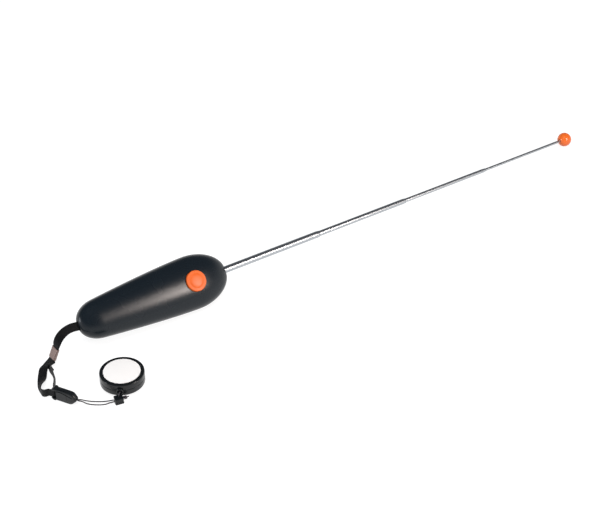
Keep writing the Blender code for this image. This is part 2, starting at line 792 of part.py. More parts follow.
def strap_route(side):
    """Gives one run of the strap as (place, width direction), from the handle's pin to the buckle's bar.

    Side 1 is the outer run, which lies flat on the left, and -1 the inner one.
    """
    stick = STICK_FRAME.to_3x3()
    lateral = -(stick @ Vector((0, 1, 0)))
    backward = -(stick @ Vector((1, 0, 0)))
    radius = PIN_RADIUS + GAP + RIBBON_THICKNESS / 2
    pin = STICK_FRAME @ Vector((PIN_BACK - HANDLE_LENGTH, 0, 0))
    route = [(place, lateral) for place in strap_wrap(pin, lateral, backward, radius, side)]
    above = backward.cross(lateral) * side
    pair = (RIBBON_THICKNESS + GAP) / 2
    tail = STICK_FRAME @ Vector((-HANDLE_LENGTH, 0, 0))
    route.append((pin + backward * WRAP_LEAD + above * (radius * WRAP_SHARE), lateral))
    route.append((tail - backward * SLOT_LEAD + above * pair, lateral))
    doubled = (
        ((-0.0136, 0.0705, 0.0289), (-0.03, -0.69, -0.72)),
        ((-0.0185, 0.0713, 0.0280), (-0.05, -0.74, -0.67)),
        ((-0.0232, 0.0710, 0.0266), (-0.07, -0.80, -0.59)),
        ((-0.0278, 0.0694, 0.0253), (0.05, -0.90, -0.43)),
        ((-0.0315, 0.0673, 0.0236), (0.22, -0.95, -0.20)),
        ((-0.0341, 0.0656, 0.0211), (0.12, -0.98, -0.08)),
    )
    centres = [(tail, lateral)]
    centres += [(Vector(place), Vector(width).normalized()) for place, width in doubled]
    top, bottom, crimp_width = crimp_line()
    for share in (-0.02, 0.5, 1.02):
        centres.append((top.lerp(bottom, share), crimp_width))
    for index, (place, width) in enumerate(centres):
        before = centres[max(index - 1, 0)][0]
        after = centres[min(index + 1, len(centres) - 1)][0]
        normal = (after - before).normalized().cross(width).normalized()
        apart = pair * RIBBON_LOOSENESS if 0 < index <= len(doubled) else pair
        route.append((place + normal * side * apart, width))
    free = {
        1: (
            ((-0.0453, 0.0650, 0.0041), (-0.15, -0.98, 0.09)),
            ((-0.0491, 0.0641, 0.0028), (-0.08, -0.97, 0.25)),
            ((-0.0529, 0.0616, 0.0018), (0.56, -0.82, 0.12)),
            ((-0.0562, 0.0571, 0.0017), (0.63, -0.76, 0.14)),
            ((-0.0599, 0.0511, 0.0019), (0.77, -0.62, 0.10)),
            ((-0.0636, 0.0451, 0.0026), (0.76, -0.52, 0.38)),
            ((-0.0672, 0.0395, 0.0039), (0.60, -0.33, 0.73)),
            ((-0.0701, 0.0343, 0.0049), (0.25, -0.10, 0.96)),
            ((-0.0718, 0.0300, 0.0053), (0.00, 0.00, 1.00)),
            ((-0.0722, 0.0264, 0.0058), (0.00, 0.00, 1.00)),
            ((-0.0706, 0.0235, 0.0066), (0.00, 0.00, 1.00)),
            ((-0.0674, 0.0221, 0.0070), (0.00, 0.00, 1.00)),
        ),
        -1: (
            ((-0.0430, 0.0635, 0.0040), (0.05, -0.99, 0.10)),
            ((-0.0452, 0.0603, 0.0035), (0.23, -0.87, 0.45)),
            ((-0.0467, 0.0570, 0.0050), (-0.46, -0.36, 0.81)),
            ((-0.0480, 0.0539, 0.0058), (-0.43, -0.43, 0.79)),
            ((-0.0508, 0.0482, 0.0056), (-0.50, 0.00, 0.87)),
            ((-0.0522, 0.0432, 0.0058), (-0.45, 0.00, 0.89)),
            ((-0.0536, 0.0383, 0.0062), (-0.25, 0.00, 0.97)),
            ((-0.0554, 0.0336, 0.0067), (-0.10, 0.00, 0.99)),
            ((-0.0579, 0.0293, 0.0070), (0.00, 0.00, 1.00)),
            ((-0.0602, 0.0260, 0.0070), (0.00, 0.00, 1.00)),
            ((-0.0617, 0.0232, 0.0070), (0.00, 0.00, 1.00)),
        ),
    }
    route += [(Vector(place), Vector(width).normalized()) for place, width in free[side]]
    bar = BUCKLE_FRAME @ Vector((STRAP_BAR_X, BUCKLE_HEIGHT / 2, 0))
    upright = Vector((0, 0, 1))
    forward = (BUCKLE_FRAME.to_3x3() @ Vector((1, 0, 0))).normalized()
    bar_radius = STRAP_BAR_RADIUS + GAP + RIBBON_THICKNESS / 2
    ends = strap_wrap(bar, upright, -forward, bar_radius, -side)
    route += [(place, upright) for place in reversed(ends)]
    return route


def crimp_line():
    """Gives the crimp's top and bottom on the strap's centreline, and its width direction."""
    top = Vector((-0.0360, 0.0648, 0.0179))
    bottom = Vector((-0.0410, 0.0648, 0.0072))
    along = (bottom - top).normalized()
    middle = (top + bottom) / 2
    half = along * CRIMP_LENGTH / 2
    width = Vector((-0.03, -0.99, -0.08))
    width = (width - along * width.dot(along)).normalized()
    return middle - half, middle + half, width


def ribbon(name, route, **options):
    """Makes a flat ribbon along a route of places and width directions."""
    places = smooth_route([place for place, _ in route], RIBBON_STEPS)
    widths = smooth_route([width for _, width in route], RIBBON_STEPS)
    rings = []
    for index, (place, width) in enumerate(zip(places, widths)):
        along = (places[min(index + 1, len(places) - 1)] - places[max(index - 1, 0)]).normalized()
        across = (width - along * width.dot(along)).normalized() * RIBBON_WIDTH / 2
        up = along.cross(across).normalized() * RIBBON_THICKNESS / 2
        rings.append([place - across - up, place + across - up, place + across + up, place - across + up])
    return loft(name, rings, **options)


def add_strap(frame, paints):
    """Adds the strap's pin, its two runs and the crimp that joins them."""
    reach = pin_reach()
    pin_place = Matrix.Translation((PIN_BACK - HANDLE_LENGTH, 0, 0)) @ ALONG_Y
    rod("strap_pin", PIN_RADIUS, -reach, reach, parent=frame, place=pin_place, material=paints.zinc)
    ribbon("strap_outer_run", strap_route(1), material=paints.webbing)
    ribbon("strap_inner_run", strap_route(-1), material=paints.webbing)
    top, bottom, width = crimp_line()
    along = (bottom - top).normalized()
    normal = along.cross(width)
    place = Matrix.Translation((top + bottom) / 2) @ Matrix((width, normal, along)).transposed().to_4x4()
    room_x = RIBBON_WIDTH / 2 + GAP
    room_y = RIBBON_THICKNESS + 1.5 * GAP
    half = CRIMP_LENGTH / 2
    sleeve = block(
        "strap_crimp",
        (-room_x - CRIMP_WALL, -room_y - CRIMP_WALL, -half),
        (room_x + CRIMP_WALL, room_y + CRIMP_WALL, half),
        place=place,
        material=paints.crimp,
    )
    bore = block(
        "crimp_bore", (-room_x, -room_y, -half - SWEEP), (room_x, room_y, half + SWEEP), place=place, cutter=True
    )
    combine(sleeve, bore)


def add_buckle(paints):
    """Adds the buckle's socket and its plug, a head with a fork that slides into the socket."""
    half = BUCKLE_THICKNESS / 2
    high = BUCKLE_HEIGHT
    cut = BUCKLE_CHAMFER
    outline = [
        (SOCKET_START, cut),
        (SOCKET_START + cut, 0),
        (SOCKET_END, 0),
        (SOCKET_END, high),
        (SOCKET_START + cut, high),
        (SOCKET_START, high - cut),
    ]
    socket = plate("buckle_socket", outline, -half, half, place=BUCKLE_FRAME, material=paints.acetal)
    room = half - BUCKLE_FACE
    fork_room = block(
        "fork_room",
        (FORK_START, -SWEEP, -room),
        (SOCKET_END + SWEEP, high + SWEEP, room),
        place=BUCKLE_FRAME,
        cutter=True,
    )
    arm = (high - RIBBON_WIDTH) / 2 - GAP
    window = block(
        "strap_window",
        (SOCKET_START - SWEEP, arm, -half - SWEEP),
        (STRAP_WINDOW_END, high - arm, half + SWEEP),
        place=BUCKLE_FRAME,
        cutter=True,
    )
    combine(socket, fork_room)
    combine(socket, window)
    bar = rod(
        "strap_bar",
        STRAP_BAR_RADIUS,
        arm / 2,
        high - arm / 2,
        SCREW_SIDES,
        place=BUCKLE_FRAME @ Matrix.Translation((STRAP_BAR_X, 0, 0)) @ ALONG_Y,
    )
    union_body(socket, bar)

    start = SOCKET_END + GAP
    shoulder = start + (HEAD_END - start) * 0.45
    head = [(start, 0), (shoulder, 0), (HEAD_END, high * 0.5), (shoulder + cut * 0.6, high), (start, high)]
    nose_drop = high * 0.09
    head[2:3] = [(HEAD_END, high * 0.5 - nose_drop), (HEAD_END, high * 0.5 + nose_drop)]
    plug = plate("buckle_plug", head, -half, half, place=BUCKLE_FRAME, material=paints.acetal)
    middle = high / 2
    tip = FORK_START + GAP
    root = start + SWEEP
    fork = [
        (tip, 0),
        (root, 0),
        (root, high),
        (tip, high),
        (tip, high - FORK_ARM),
        (start - FORK_ROOT, high - FORK_ARM),
        (start - FORK_ROOT, middle + FORK_GUIDE / 2),
        (tip, middle + FORK_GUIDE / 2),
        (tip, middle - FORK_GUIDE / 2),
        (start - FORK_ROOT, middle - FORK_GUIDE / 2),
        (start - FORK_ROOT, FORK_ARM),
        (tip, FORK_ARM),
    ]
    union_body(plug, plate("fork", fork, GAP - room, room - GAP, place=BUCKLE_FRAME))


def loop_routes():
    """Gives the two thin cords' routes, from the buckle's nose to the bead."""
    nose = BUCKLE_FRAME @ Vector((HEAD_END + GAP, BUCKLE_HEIGHT / 2, 0))
    ahead = BUCKLE_FRAME.to_3x3() @ Vector((CORD_DIAMETER, 0, 0))
    apart = Vector((0, 0, CORD_DIAMETER / 2 + GAP / 2))
    bead_end = -BEAD_SIZE.x / 2 - GAP
    upper = [
        nose + apart,
        nose + apart + ahead,
        (-0.0468, -0.0043, 0.0058),
        (-0.0431, -0.0050, 0.0033),
        (-0.0390, -0.0067, 0.0016),
        (-0.0350, -0.0092, 0.0010),
        (-0.0310, -0.0121, 0.0009),
        (-0.0271, -0.0149, 0.0013),
        (-0.0240, -0.0172, 0.0021),
        BEAD_FRAME @ Vector((bead_end, 0.0020, 0.0030)),
    ]
    lower = [
        nose - apart,
        nose - apart + ahead,
        (-0.0467, -0.0054, 0.0042),
        (-0.0438, -0.0076, 0.0020),
        (-0.0400, -0.0107, 0.0009),
        (-0.0364, -0.0137, 0.0008),
        (-0.0327, -0.0163, 0.0008),
        (-0.0290, -0.0181, 0.0009),
        (-0.0255, -0.0192, 0.0015),
        BEAD_FRAME @ Vector((bead_end, 0.0002, 0.0023)),
    ]
    return upper, lower


def add_loop(paints):
    """Adds the thin cord loop, the bead that it runs into, and the knot behind the bead."""
    for name, route in zip(("loop_cord_upper", "loop_cord_lower"), loop_routes()):
        cord(name, smooth_route(route, CORD_STEPS), material=paints.cord)
    half = BEAD_SIZE / 2
    bead = block("cord_bead", (-half.x, -half.y, 0), (half.x, half.y, BEAD_SIZE.z), place=BEAD_FRAME)
    bead.data.materials.append(paints.acetal)
    bevel = bead.modifiers.new("round", "BEVEL")
    bevel.width = BEAD_ROUND
    bevel.segments = 2
    start = half.x + GAP
    radius = KNOT_RADIUS
    profile = [
        (0, start + KNOT_LENGTH),
        (radius * 0.6, start + KNOT_LENGTH),
        (radius, start + KNOT_LENGTH * 0.75),
        (radius, start + KNOT_LENGTH * 0.35),
        (radius * 0.6, start),
        (0, start),
    ]
    place = BEAD_FRAME @ Matrix.Translation((0, 0, KNOT_HEIGHT)) @ ALONG_X
    turned("loop_knot", profile, SCREW_SIDES, place=place, material=paints.cord)


def nozzle_frame():
    """Gives the frame of the reel's nozzle, whose Z axis points out from the reel's centre."""
    return Matrix.Translation((0, 0, CASE_SPLIT)) @ Matrix.Rotation(NOZZLE_TURN, 4, "Z") @ ALONG_X


def add_reel_case(paints):
    """Adds the reel's two case halves and the label on its front."""
    hole = REEL_RIVET_RADIUS + GAP
    inside = REEL_RADIUS - CASE_WALL
    edge = REEL_EDGE
    back = [
        (REEL_RADIUS, CASE_SPLIT - GAP / 2),
        (REEL_RADIUS, CASE_BASE + edge),
        (REEL_RADIUS - edge * 0.3, CASE_BASE + edge * 0.3),
        (REEL_RADIUS - edge, CASE_BASE),
        (hole, CASE_BASE),
        (hole, CASE_FLOOR),
        (inside, CASE_FLOOR),
        (inside, CASE_SPLIT - GAP / 2),
    ]
    rim = LABEL_RADIUS + GAP
    front = [
        (0, LABEL_FLOOR),
        (rim, LABEL_FLOOR),
        (rim, CASE_TOP),
        (REEL_RADIUS - edge, CASE_TOP),
        (REEL_RADIUS - edge * 0.3, CASE_TOP - edge * 0.3),
        (REEL_RADIUS, CASE_TOP - edge),
        (REEL_RADIUS, CASE_SPLIT + GAP / 2),
        (inside, CASE_SPLIT + GAP / 2),
        (inside, CASE_CEILING),
        (POST_RADIUS, CASE_CEILING),
        (POST_RADIUS, SPOOL_BASE),
        (0, SPOOL_BASE),
    ]
    notch = rod(
        "nozzle_notch",
        NOZZLE_RADIUS + GAP,
        inside - SWEEP,
        REEL_RADIUS + SWEEP,
        NOZZLE_SIDES,
        place=nozzle_frame(),
        cutter=True,
    )
    combine(turned("reel_case_back", back, REEL_SIDES, True, material=paints.reel), notch)
    combine(turned("reel_case_front", front, REEL_SIDES, material=paints.reel), notch)
    label_base = LABEL_FLOOR + GAP
    rod("reel_label", LABEL_RADIUS, label_base, label_base + LABEL_THICKNESS, REEL_SIDES, material=paints.label)


def add_reel_inside(paints):
    """Adds the reel's spool, its wound cord and its spiral spring."""
    hub_inside = HUB_RADIUS - HUB_WALL
    web_top = SPOOL_BASE + SPOOL_FLANGE
    flange_base = SPOOL_TOP - SPOOL_FLANGE
    spool = [
        (SPOOL_RADIUS, SPOOL_TOP),
        (SPOOL_RADIUS, flange_base),
        (HUB_RADIUS, flange_base),
        (HUB_RADIUS, web_top),
        (SPOOL_RADIUS, web_top),
        (SPOOL_RADIUS, SPOOL_BASE),
        (POST_RADIUS + GAP, SPOOL_BASE),
        (POST_RADIUS + GAP, web_top),
        (hub_inside, web_top),
        (hub_inside, SPOOL_TOP),
    ]
    turned("reel_spool", spool, SPOOL_SIDES, True, material=paints.moulded)
    low, high = web_top + GAP, flange_base - GAP
    inner = HUB_RADIUS + GAP
    winding = [(WINDING_RADIUS, high), (WINDING_RADIUS, low), (inner, low), (inner, high)]
    turned("reel_cord_winding", winding, SPOOL_SIDES, True, material=paints.cord)

    start = POST_RADIUS + GAP + SPRING_STRIP / 2
    end = hub_inside - GAP - SPRING_STRIP / 2
    count = SPRING_TURNS * SPRING_STEPS
    inner_edge, outer_edge = [], []
    for step in range(count + 1):
        angle = 2 * math.pi * step / SPRING_STEPS
        radius = start + (end - start) * step / count
        direction = Vector((math.cos(angle), math.sin(angle)))
        inner_edge.append(direction * (radius - SPRING_STRIP / 2))
        outer_edge.append(direction * (radius + SPRING_STRIP / 2))
    outline = outer_edge + inner_edge[::-1]
    plate("reel_spring", outline, low, high, material=paints.spring_steel)


def add_reel_fittings(paints):
    """Adds the reel's rivet, belt clip and nozzle, and the short end of cord that leaves it."""
    head = CLIP_PLATE + GAP
    shank_start = head + REEL_RIVET_LOWER_HEAD
    rivet = [
        (0, RIVET_TOP),
        (REEL_RIVET_HEAD, RIVET_TOP),
        (REEL_RIVET_HEAD, CASE_FLOOR + GAP),
        (REEL_RIVET_RADIUS, CASE_FLOOR + GAP),
        (REEL_RIVET_RADIUS, shank_start),
        (REEL_RIVET_HEAD, shank_start),
        (REEL_RIVET_HEAD, head),
        (0, head),
    ]
    turned("reel_rivet", rivet, SCREW_SIDES * 2, material=paints.zinc)

    top = 2 * CLIP_PLATE + CLIP_SLOT
    bend = CLIP_LENGTH / 2 - top / 2
    side = [(-CLIP_LENGTH / 2, 0), (bend, 0)]
    for step in range(1, 6):
        angle = -math.pi / 2 + math.pi * step / 6
        side.append((bend + top / 2 * math.cos(angle), top / 2 + top / 2 * math.sin(angle)))
    side += [(bend, top), (-CLIP_TONGUE, top), (-CLIP_TONGUE, top - CLIP_PLATE), (bend, top - CLIP_PLATE)]
    for step in range(1, 4):
        angle = math.pi / 2 - math.pi * step / 4
        side.append((bend + CLIP_SLOT / 2 * math.cos(angle), top / 2 + CLIP_SLOT / 2 * math.sin(angle)))
    side += [(bend, CLIP_PLATE), (-CLIP_LENGTH / 2, CLIP_PLATE)]
    turn = Matrix.Rotation(NOZZLE_TURN + math.pi, 4, "Z") @ Matrix.Rotation(math.pi / 2, 4, "X")
    clip = plate("belt_clip", side, -CLIP_WIDTH / 2, CLIP_WIDTH / 2, place=turn, material=paints.spring_steel)
    hole = rod("clip_hole", REEL_RIVET_RADIUS + GAP, top - 2 * CLIP_PLATE, top + SWEEP, SCREW_SIDES * 2, cutter=True)
    combine(clip, hole)

    bore = CORD_DIAMETER / 2 + GAP
    inside = REEL_RADIUS - CASE_WALL
    face = REEL_RADIUS + GAP
    nozzle = [
        (NOZZLE_FLANGE * 0.8, face + NOZZLE_REACH),
        (NOZZLE_FLANGE, face + NOZZLE_REACH * 0.6),
        (NOZZLE_FLANGE, face),
        (NOZZLE_RADIUS, face),
        (NOZZLE_RADIUS, inside - SWEEP),
        (bore, inside - SWEEP),
        (bore, face + NOZZLE_REACH),
    ]
    turned("reel_nozzle", nozzle, NOZZLE_SIDES, True, place=nozzle_frame(), material=paints.reel)

    out = nozzle_frame().to_3x3() @ Vector((0, 0, 1))
    straight = [out * (WINDING_RADIUS + GAP), out * inside, out * (face + NOZZLE_REACH)]
    route = [Vector((point.x, point.y, CASE_SPLIT)) for point in straight]
    landing = BEAD_FRAME @ Vector((0.0005, 0.0012, BEAD_SIZE.z + GAP))
    route.append(Vector((landing.x, landing.y, CASE_SPLIT - 0.0004)).lerp(route[-1], 0.35))
    route.append(landing)
    cord("reel_cord_end", smooth_route(route, CORD_STEPS), material=paints.cord)


def main():
    """Builds the whole stick."""
    clear_scene()
    new_collection(COLLECTION)
    new_collection(CUTTERS)
    paints = Paints()
    frame = bpy.data.objects.new("stick_frame", None)
    bpy.data.collections[COLLECTION].objects.link(frame)
    frame.matrix_world = STICK_FRAME
    add_handle(frame, paints)
    add_clicker(frame, paints)
    add_rod(frame, paints)
    add_strap(frame, paints)
    add_buckle(paints)
    add_loop(paints)
    add_reel_case(paints)
    add_reel_inside(paints)
    add_reel_fittings(paints)


main()
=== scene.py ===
"""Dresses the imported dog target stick: its looks, camera, floor and light."""

import logging
import math
from collections.abc import Sequence
from dataclasses import dataclass, field
from enum import Enum

import bmesh
import bpy
from mathutils import Euler, Matrix, Vector


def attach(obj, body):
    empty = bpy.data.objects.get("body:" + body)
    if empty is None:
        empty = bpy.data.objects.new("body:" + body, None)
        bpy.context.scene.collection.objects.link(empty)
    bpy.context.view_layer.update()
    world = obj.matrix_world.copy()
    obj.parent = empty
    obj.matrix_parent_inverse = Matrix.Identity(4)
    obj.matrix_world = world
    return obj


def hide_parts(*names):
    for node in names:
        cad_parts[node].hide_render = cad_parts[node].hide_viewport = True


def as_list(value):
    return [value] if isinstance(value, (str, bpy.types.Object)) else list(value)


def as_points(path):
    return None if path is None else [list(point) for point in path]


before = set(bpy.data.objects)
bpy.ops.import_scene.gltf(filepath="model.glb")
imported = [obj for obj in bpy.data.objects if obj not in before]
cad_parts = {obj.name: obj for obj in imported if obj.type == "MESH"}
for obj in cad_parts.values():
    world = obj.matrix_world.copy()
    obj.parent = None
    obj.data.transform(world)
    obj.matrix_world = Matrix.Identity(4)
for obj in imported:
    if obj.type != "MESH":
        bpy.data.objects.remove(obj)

LOG = logging.getLogger("dog_target_stick")
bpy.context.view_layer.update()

# Places that the part's source works out
STICK = Matrix.Translation((0.161513, 0.0686, 0.024026)) @ (
    Euler((math.radians(50.0), math.radians(1.8324237), 0.0)).to_matrix().to_4x4()
)
BUCKLE = (
    Matrix.Translation((-0.0577, 0.0095, 0.0))
    @ Matrix.Rotation(math.radians(-61.0), 4, "Z")
    @ Matrix.Rotation(math.pi / 2, 4, "X")
)
BEAD = Matrix.Translation((-0.0170, -0.0222, 0.0)) @ Matrix.Rotation(math.radians(-12.0), 4, "Z")
NOZZLE_TURN = math.radians(234.2)
ALONG_X = Matrix.Rotation(math.pi / 2, 4, "Y")
ALONG_Y = Matrix.Rotation(-math.pi / 2, 4, "X")

# Sizes that more than one sub-assembly uses
HANDLE_LENGTH = 0.1700
PIN_BACK = 0.008  # from the handle's tail to the strap's pin
PIN_RADIUS = 0.0015
RIBBON_WIDTH = 0.0088
BUCKLE_HEIGHT = 0.014
BAR_X = -0.0113  # of the bar that the strap goes round in the buckle
BAR_RADIUS = 0.0011
CORD_DIAMETER = 0.0012
BEAD_SIZE = (0.0086, 0.0074, 0.0065)
BUTTON_BACK = 0.042  # from the handle's nose to the button's axis
GAP = 0.0003  # between pieces that touch on the real product
SWEEP = 0.001  # how far a cutter runs past the face that it opens

MERGE = 1e-6  # points nearer than this are one
SHARP = 32.0  # degrees from which an edge stays crisp
LONGEST_ROUND = 0.49  # of the side that a round starts on
LEAST_ROUND = 0.3  # of a round, when its outline is drawn in
FINE, CRISP, SOFT = 0.0001, 0.0002, 0.0005  # how far the rounds of plain edges reach
EDGE_STEPS = 5  # in the round of a plate's edge
CORD_STEPS = 8  # between two points of a cord's route
PIN_SIDES, SCREW_HOLE_SIDES, NOTCH_SIDES, TUBE_SIDES, BUTTON_SIDES, CASE_SIDES = 32, 40, 48, 64, 96, 128
SURFACE = "surface"  # UV map in metres: along the piece, then round it
TURN = "turn"  # attribute that turns each repeated piece

# Short names for types
Object = bpy.types.Object
Tree = bpy.types.NodeTree
Socket = bpy.types.NodeSocket
Corner = tuple[float, ...]
Pair = tuple[float, float]
Place = tuple[float, float, float]
Spot = tuple[Place, Place]  # of a ribbon: a point on its centreline and its width's direction
Ring = list[Vector]


def on_stick(x: float, y: float = 0.0, z: float = 0.0) -> Matrix:
    """Gives a place in the stick's frame, whose X axis runs back to front along the rod."""
    return STICK @ Matrix.Translation((x, y, z))


# Meshes


def linked(name: str, data: bpy.types.ID) -> Object:
    """Makes an object of some data and puts it in the scene.

    Args:
        name: The object's name.
        data: A mesh, lamp or camera.

    Returns:
        The new object.
    """
    made = bpy.data.objects.new(name, data)
    bpy.context.scene.collection.objects.link(made)
    return made


def lifted(outline: Sequence[Vector], height: float, place: Matrix, x: float = 1.0, y: float = 1.0) -> Ring:
    """Puts a flat outline at a height in a place, and draws it in or out by a factor each way."""
    return [place @ Vector((point.x * x, point.y * y, height)) for point in outline]


def neighbours(items: Sequence, index: int) -> tuple:
    """Gives the items before and after one, or the item itself at an end."""
    return items[max(index - 1, 0)], items[min(index + 1, len(items) - 1)]


def rounded(corners: Sequence[Corner], steps: int = 5, closed: bool = False) -> list[Vector]:
    """Rounds the corners of a flat line.

    Args:
        corners: The corners, as (x, y) or (x, y, reach), where reach is how far the round starts from it.
        steps: Pieces that each round is drawn in.
        closed: Whether the last corner joins the first.

    Returns:
        The points of the rounded line.
    """
    found: list[Vector] = []
    count = len(corners)
    for index, corner in enumerate(corners):
        here = Vector(corner[:2])
        end = not closed and index in (0, count - 1)
        if end or len(corner) < 3:
            found.append(here)
            continue
        before = Vector(corners[index - 1][:2]) - here
        after = Vector(corners[(index + 1) % count][:2]) - here
        reach = min(corner[2], before.length * LONGEST_ROUND, after.length * LONGEST_ROUND)
        start, stop = here + before.normalized() * reach, here + after.normalized() * reach
        for step in range(steps + 1):
            share = step / steps
            found.append(start.lerp(here, share).lerp(here.lerp(stop, share), share))
    return found


def rounded_section(width: float, height: float, radius: float, steps: int = 4) -> list[Vector]:
    """Draws a rectangle with rounded corners round the origin.

    Args:
        width: Its size in X.
        height: Its size in Y.
        radius: How far each corner's round starts from it.
        steps: Pieces that each round is drawn in.

    Returns:
        Its points, turning left.
    """
    x, y = width / 2, height / 2
    return rounded([(x, -y, radius), (x, y, radius), (-x, y, radius), (-x, -y, radius)], steps, True)


def settle_mesh(name: str, work: bmesh.types.BMesh, sharp: float = SHARP) -> Object:
    """Turns a bmesh into a smooth piece whose faces point outwards.

    Args:
        name: The piece's name.
        work: The bmesh, which is freed.
        sharp: Angle in degrees from which an edge stays crisp.

    Returns:
        The new object.
    """
    bmesh.ops.remove_doubles(work, verts=work.verts, dist=MERGE)
    bmesh.ops.recalc_face_normals(work, faces=work.faces)
    if work.calc_volume(signed=True) < 0:
        bmesh.ops.reverse_faces(work, faces=work.faces)
    mesh = bpy.data.meshes.new(name)
    work.to_mesh(mesh)
    work.free()
    return smooth_piece(name, mesh, sharp)


def smooth_piece(name: str, mesh: bpy.types.Mesh, sharp: float = SHARP) -> Object:
    """Links a mesh as a piece that is shaded smooth up to an angle.

    Args:
        name: The piece's name.
        mesh: Its mesh.
        sharp: Angle in degrees from which an edge stays crisp.

    Returns:
        The new object.
    """
    mesh.polygons.foreach_set("use_smooth", [True] * len(mesh.polygons))
    mesh.set_sharp_from_angle(angle=math.radians(sharp))
    return linked(name, mesh)


def unwrap(face: bmesh.types.BMFace, layer: bmesh.types.BMLayerItem, spots: Sequence[Corner]) -> None:
    """Gives a face's corners their places on the UV map."""
    for corner, spot in zip(face.loops, spots):
        corner[layer].uv = spot


def loft(name: str, rings: Sequence[Ring], closed: bool = False, sharp: float = SHARP) -> Object:
    """Makes a piece through rings of points, with a UV map that runs along it and round it in metres.

    Args:
        name: The piece's name.
        rings: Rings with the same number of points.
        closed: Whether the last ring joins the first, as in a sleeve, in place of two end faces.
        sharp: Angle in degrees from which an edge stays crisp.

    Returns:
        The new object.
    """
    work = bmesh.new()
    layer = work.loops.layers.uv.new(SURFACE)
    drawn = [[work.verts.new(point) for point in ring] for ring in rings]
    count = len(rings[0])
    girth = [0.0]
    widest = max(rings, key=lambda ring: sum((a - b).length for a, b in zip(ring, ring[1:])))
    for i in range(count):
        girth.append(girth[-1] + (widest[(i + 1) % count] - widest[i]).length)
    along = [0.0]
    centres = [sum(ring, Vector()) / count for ring in rings]
    for j in range(len(rings) if closed else len(rings) - 1):
        k = (j + 1) % len(rings)
        along.append(along[-1] + max((centres[k] - centres[j]).length, (rings[k][0] - rings[j][0]).length))
        start, end = along[-2:]
        near, far = drawn[j], drawn[k]
        for i in range(count):
            n = (i + 1) % count
            spots = ((start, girth[i]), (start, girth[i + 1]), (end, girth[i + 1]), (end, girth[i]))
            unwrap(work.faces.new((near[i], near[n], far[n], far[i])), layer, spots)
    if not closed:
        for ring in (drawn[0], list(reversed(drawn[-1]))):
            unwrap(work.faces.new(ring), layer, [(0.0, spot) for spot in girth])
    return settle_mesh(name, work, sharp)


def lathe(
    name: str, profile: Sequence[Vector | Corner], sides: int, place: Matrix = Matrix(), closed: bool = False
) -> Object:
    """Makes a turned piece from a profile of (radius, height).

    Args:
        name: The piece's name.
        profile: Points of the profile, from one end to the other.
        sides: Number of sides round the axis.
        place: Where the piece stands, with its axis along Z.
        closed: Whether the profile's last point joins its first.

    Returns:
        The new object.
    """
    work = bmesh.new()
    layer = work.loops.layers.uv.new(SURFACE)
    points = [Vector(point) for point in (*profile, *(profile[:1] if closed else ()))]
    widest = max(point.x for point in points)
    along = [0.0]
    for a, b in zip(points, points[1:]):
        along.append(along[-1] + (b - a).length)
    rings = []
    for side in range(sides):
        angle = 2 * math.pi * side / sides
        ring = [place @ Vector((p.x * math.cos(angle), p.x * math.sin(angle), p.y)) for p in points]
        rings.append([work.verts.new(point) for point in ring])
    for side in range(sides):
        near, far = rings[side], rings[(side + 1) % sides]
        low, high = 2 * math.pi * widest * side / sides, 2 * math.pi * widest * (side + 1) / sides
        for i in range(len(points) - 1):
            spots = ((along[i], low), (along[i + 1], low), (along[i + 1], high), (along[i], high))
            unwrap(work.faces.new((near[i], near[i + 1], far[i + 1], far[i])), layer, spots)
    bmesh.ops.remove_doubles(work, verts=work.verts, dist=MERGE)
    bmesh.ops.dissolve_degenerate(work, edges=work.edges, dist=MERGE / 10)
    return settle_mesh(name, work)


def drawn_in(corners: Sequence[Corner], distance: float) -> list[Corner]:
    """Moves the sides of a bulging outline inwards.

    Args:
        corners: The corners as (x, y, reach), turning left.
        distance: How far each side moves.

    Returns:
        The new corners, whose rounds are smaller.
    """
    found = []
    for index, (x, y, reach) in enumerate(corners):
        here = Vector((x, y))
        before = (here - Vector(corners[index - 1][:2])).normalized()
        after = (Vector(corners[(index + 1) % len(corners)][:2]) - here).normalized()
        one, two = Vector((-before.y, before.x)), Vector((-after.y, after.x))
        moved = here + (one + two) / (1 + one.dot(two)) * distance
        found.append((moved.x, moved.y, max(reach - distance * 0.5, reach * LEAST_ROUND)))
    return found


def pillow(name: str, corners: Sequence[Corner], half: float, edge: float, place: Matrix) -> Object:
    """Makes a plate with rounded edges from an outline that bulges outwards.

    Args:
        name: The piece's name.
        corners: The outline's corners as (x, y, reach), turning left.
        half: Half the plate's thickness in Z.
        edge: Radius of its edges.
        place: Where the plate stands.

    Returns:
        The new object.
    """
    levels = []
    for step in range(EDGE_STEPS + 1):
        angle = math.pi / 2 * step / EDGE_STEPS
        levels.append((edge * (1 - math.sin(angle)), half - edge + edge * math.cos(angle)))
    rings = []
    for inset, height in levels + [(inset, -height) for inset, height in reversed(levels)]:
        outline = rounded(drawn_in(corners, inset), 6, True)
        rings.append(lifted(outline, height, place))
    return loft(name, rings)


def bar(name: str, radius: float, low: float, high: float, sides: int, place: Matrix = Matrix()) -> Object:
    """Makes a round bar between two heights, to cut or join with."""
    return lathe(name, [(0, high), (radius, high), (radius, low), (0, low)], sides, place)


def worked(piece: Object) -> bpy.types.Mesh:
    """Gives a piece's mesh with its modifiers worked in, as a new plain mesh.

    Args:
        piece: The piece, which keeps its modifiers.

    Returns:
        The new mesh.
    """
    bpy.context.view_layer.update()
    graph = bpy.context.evaluated_depsgraph_get()
    return bpy.data.meshes.new_from_object(piece.evaluated_get(graph))


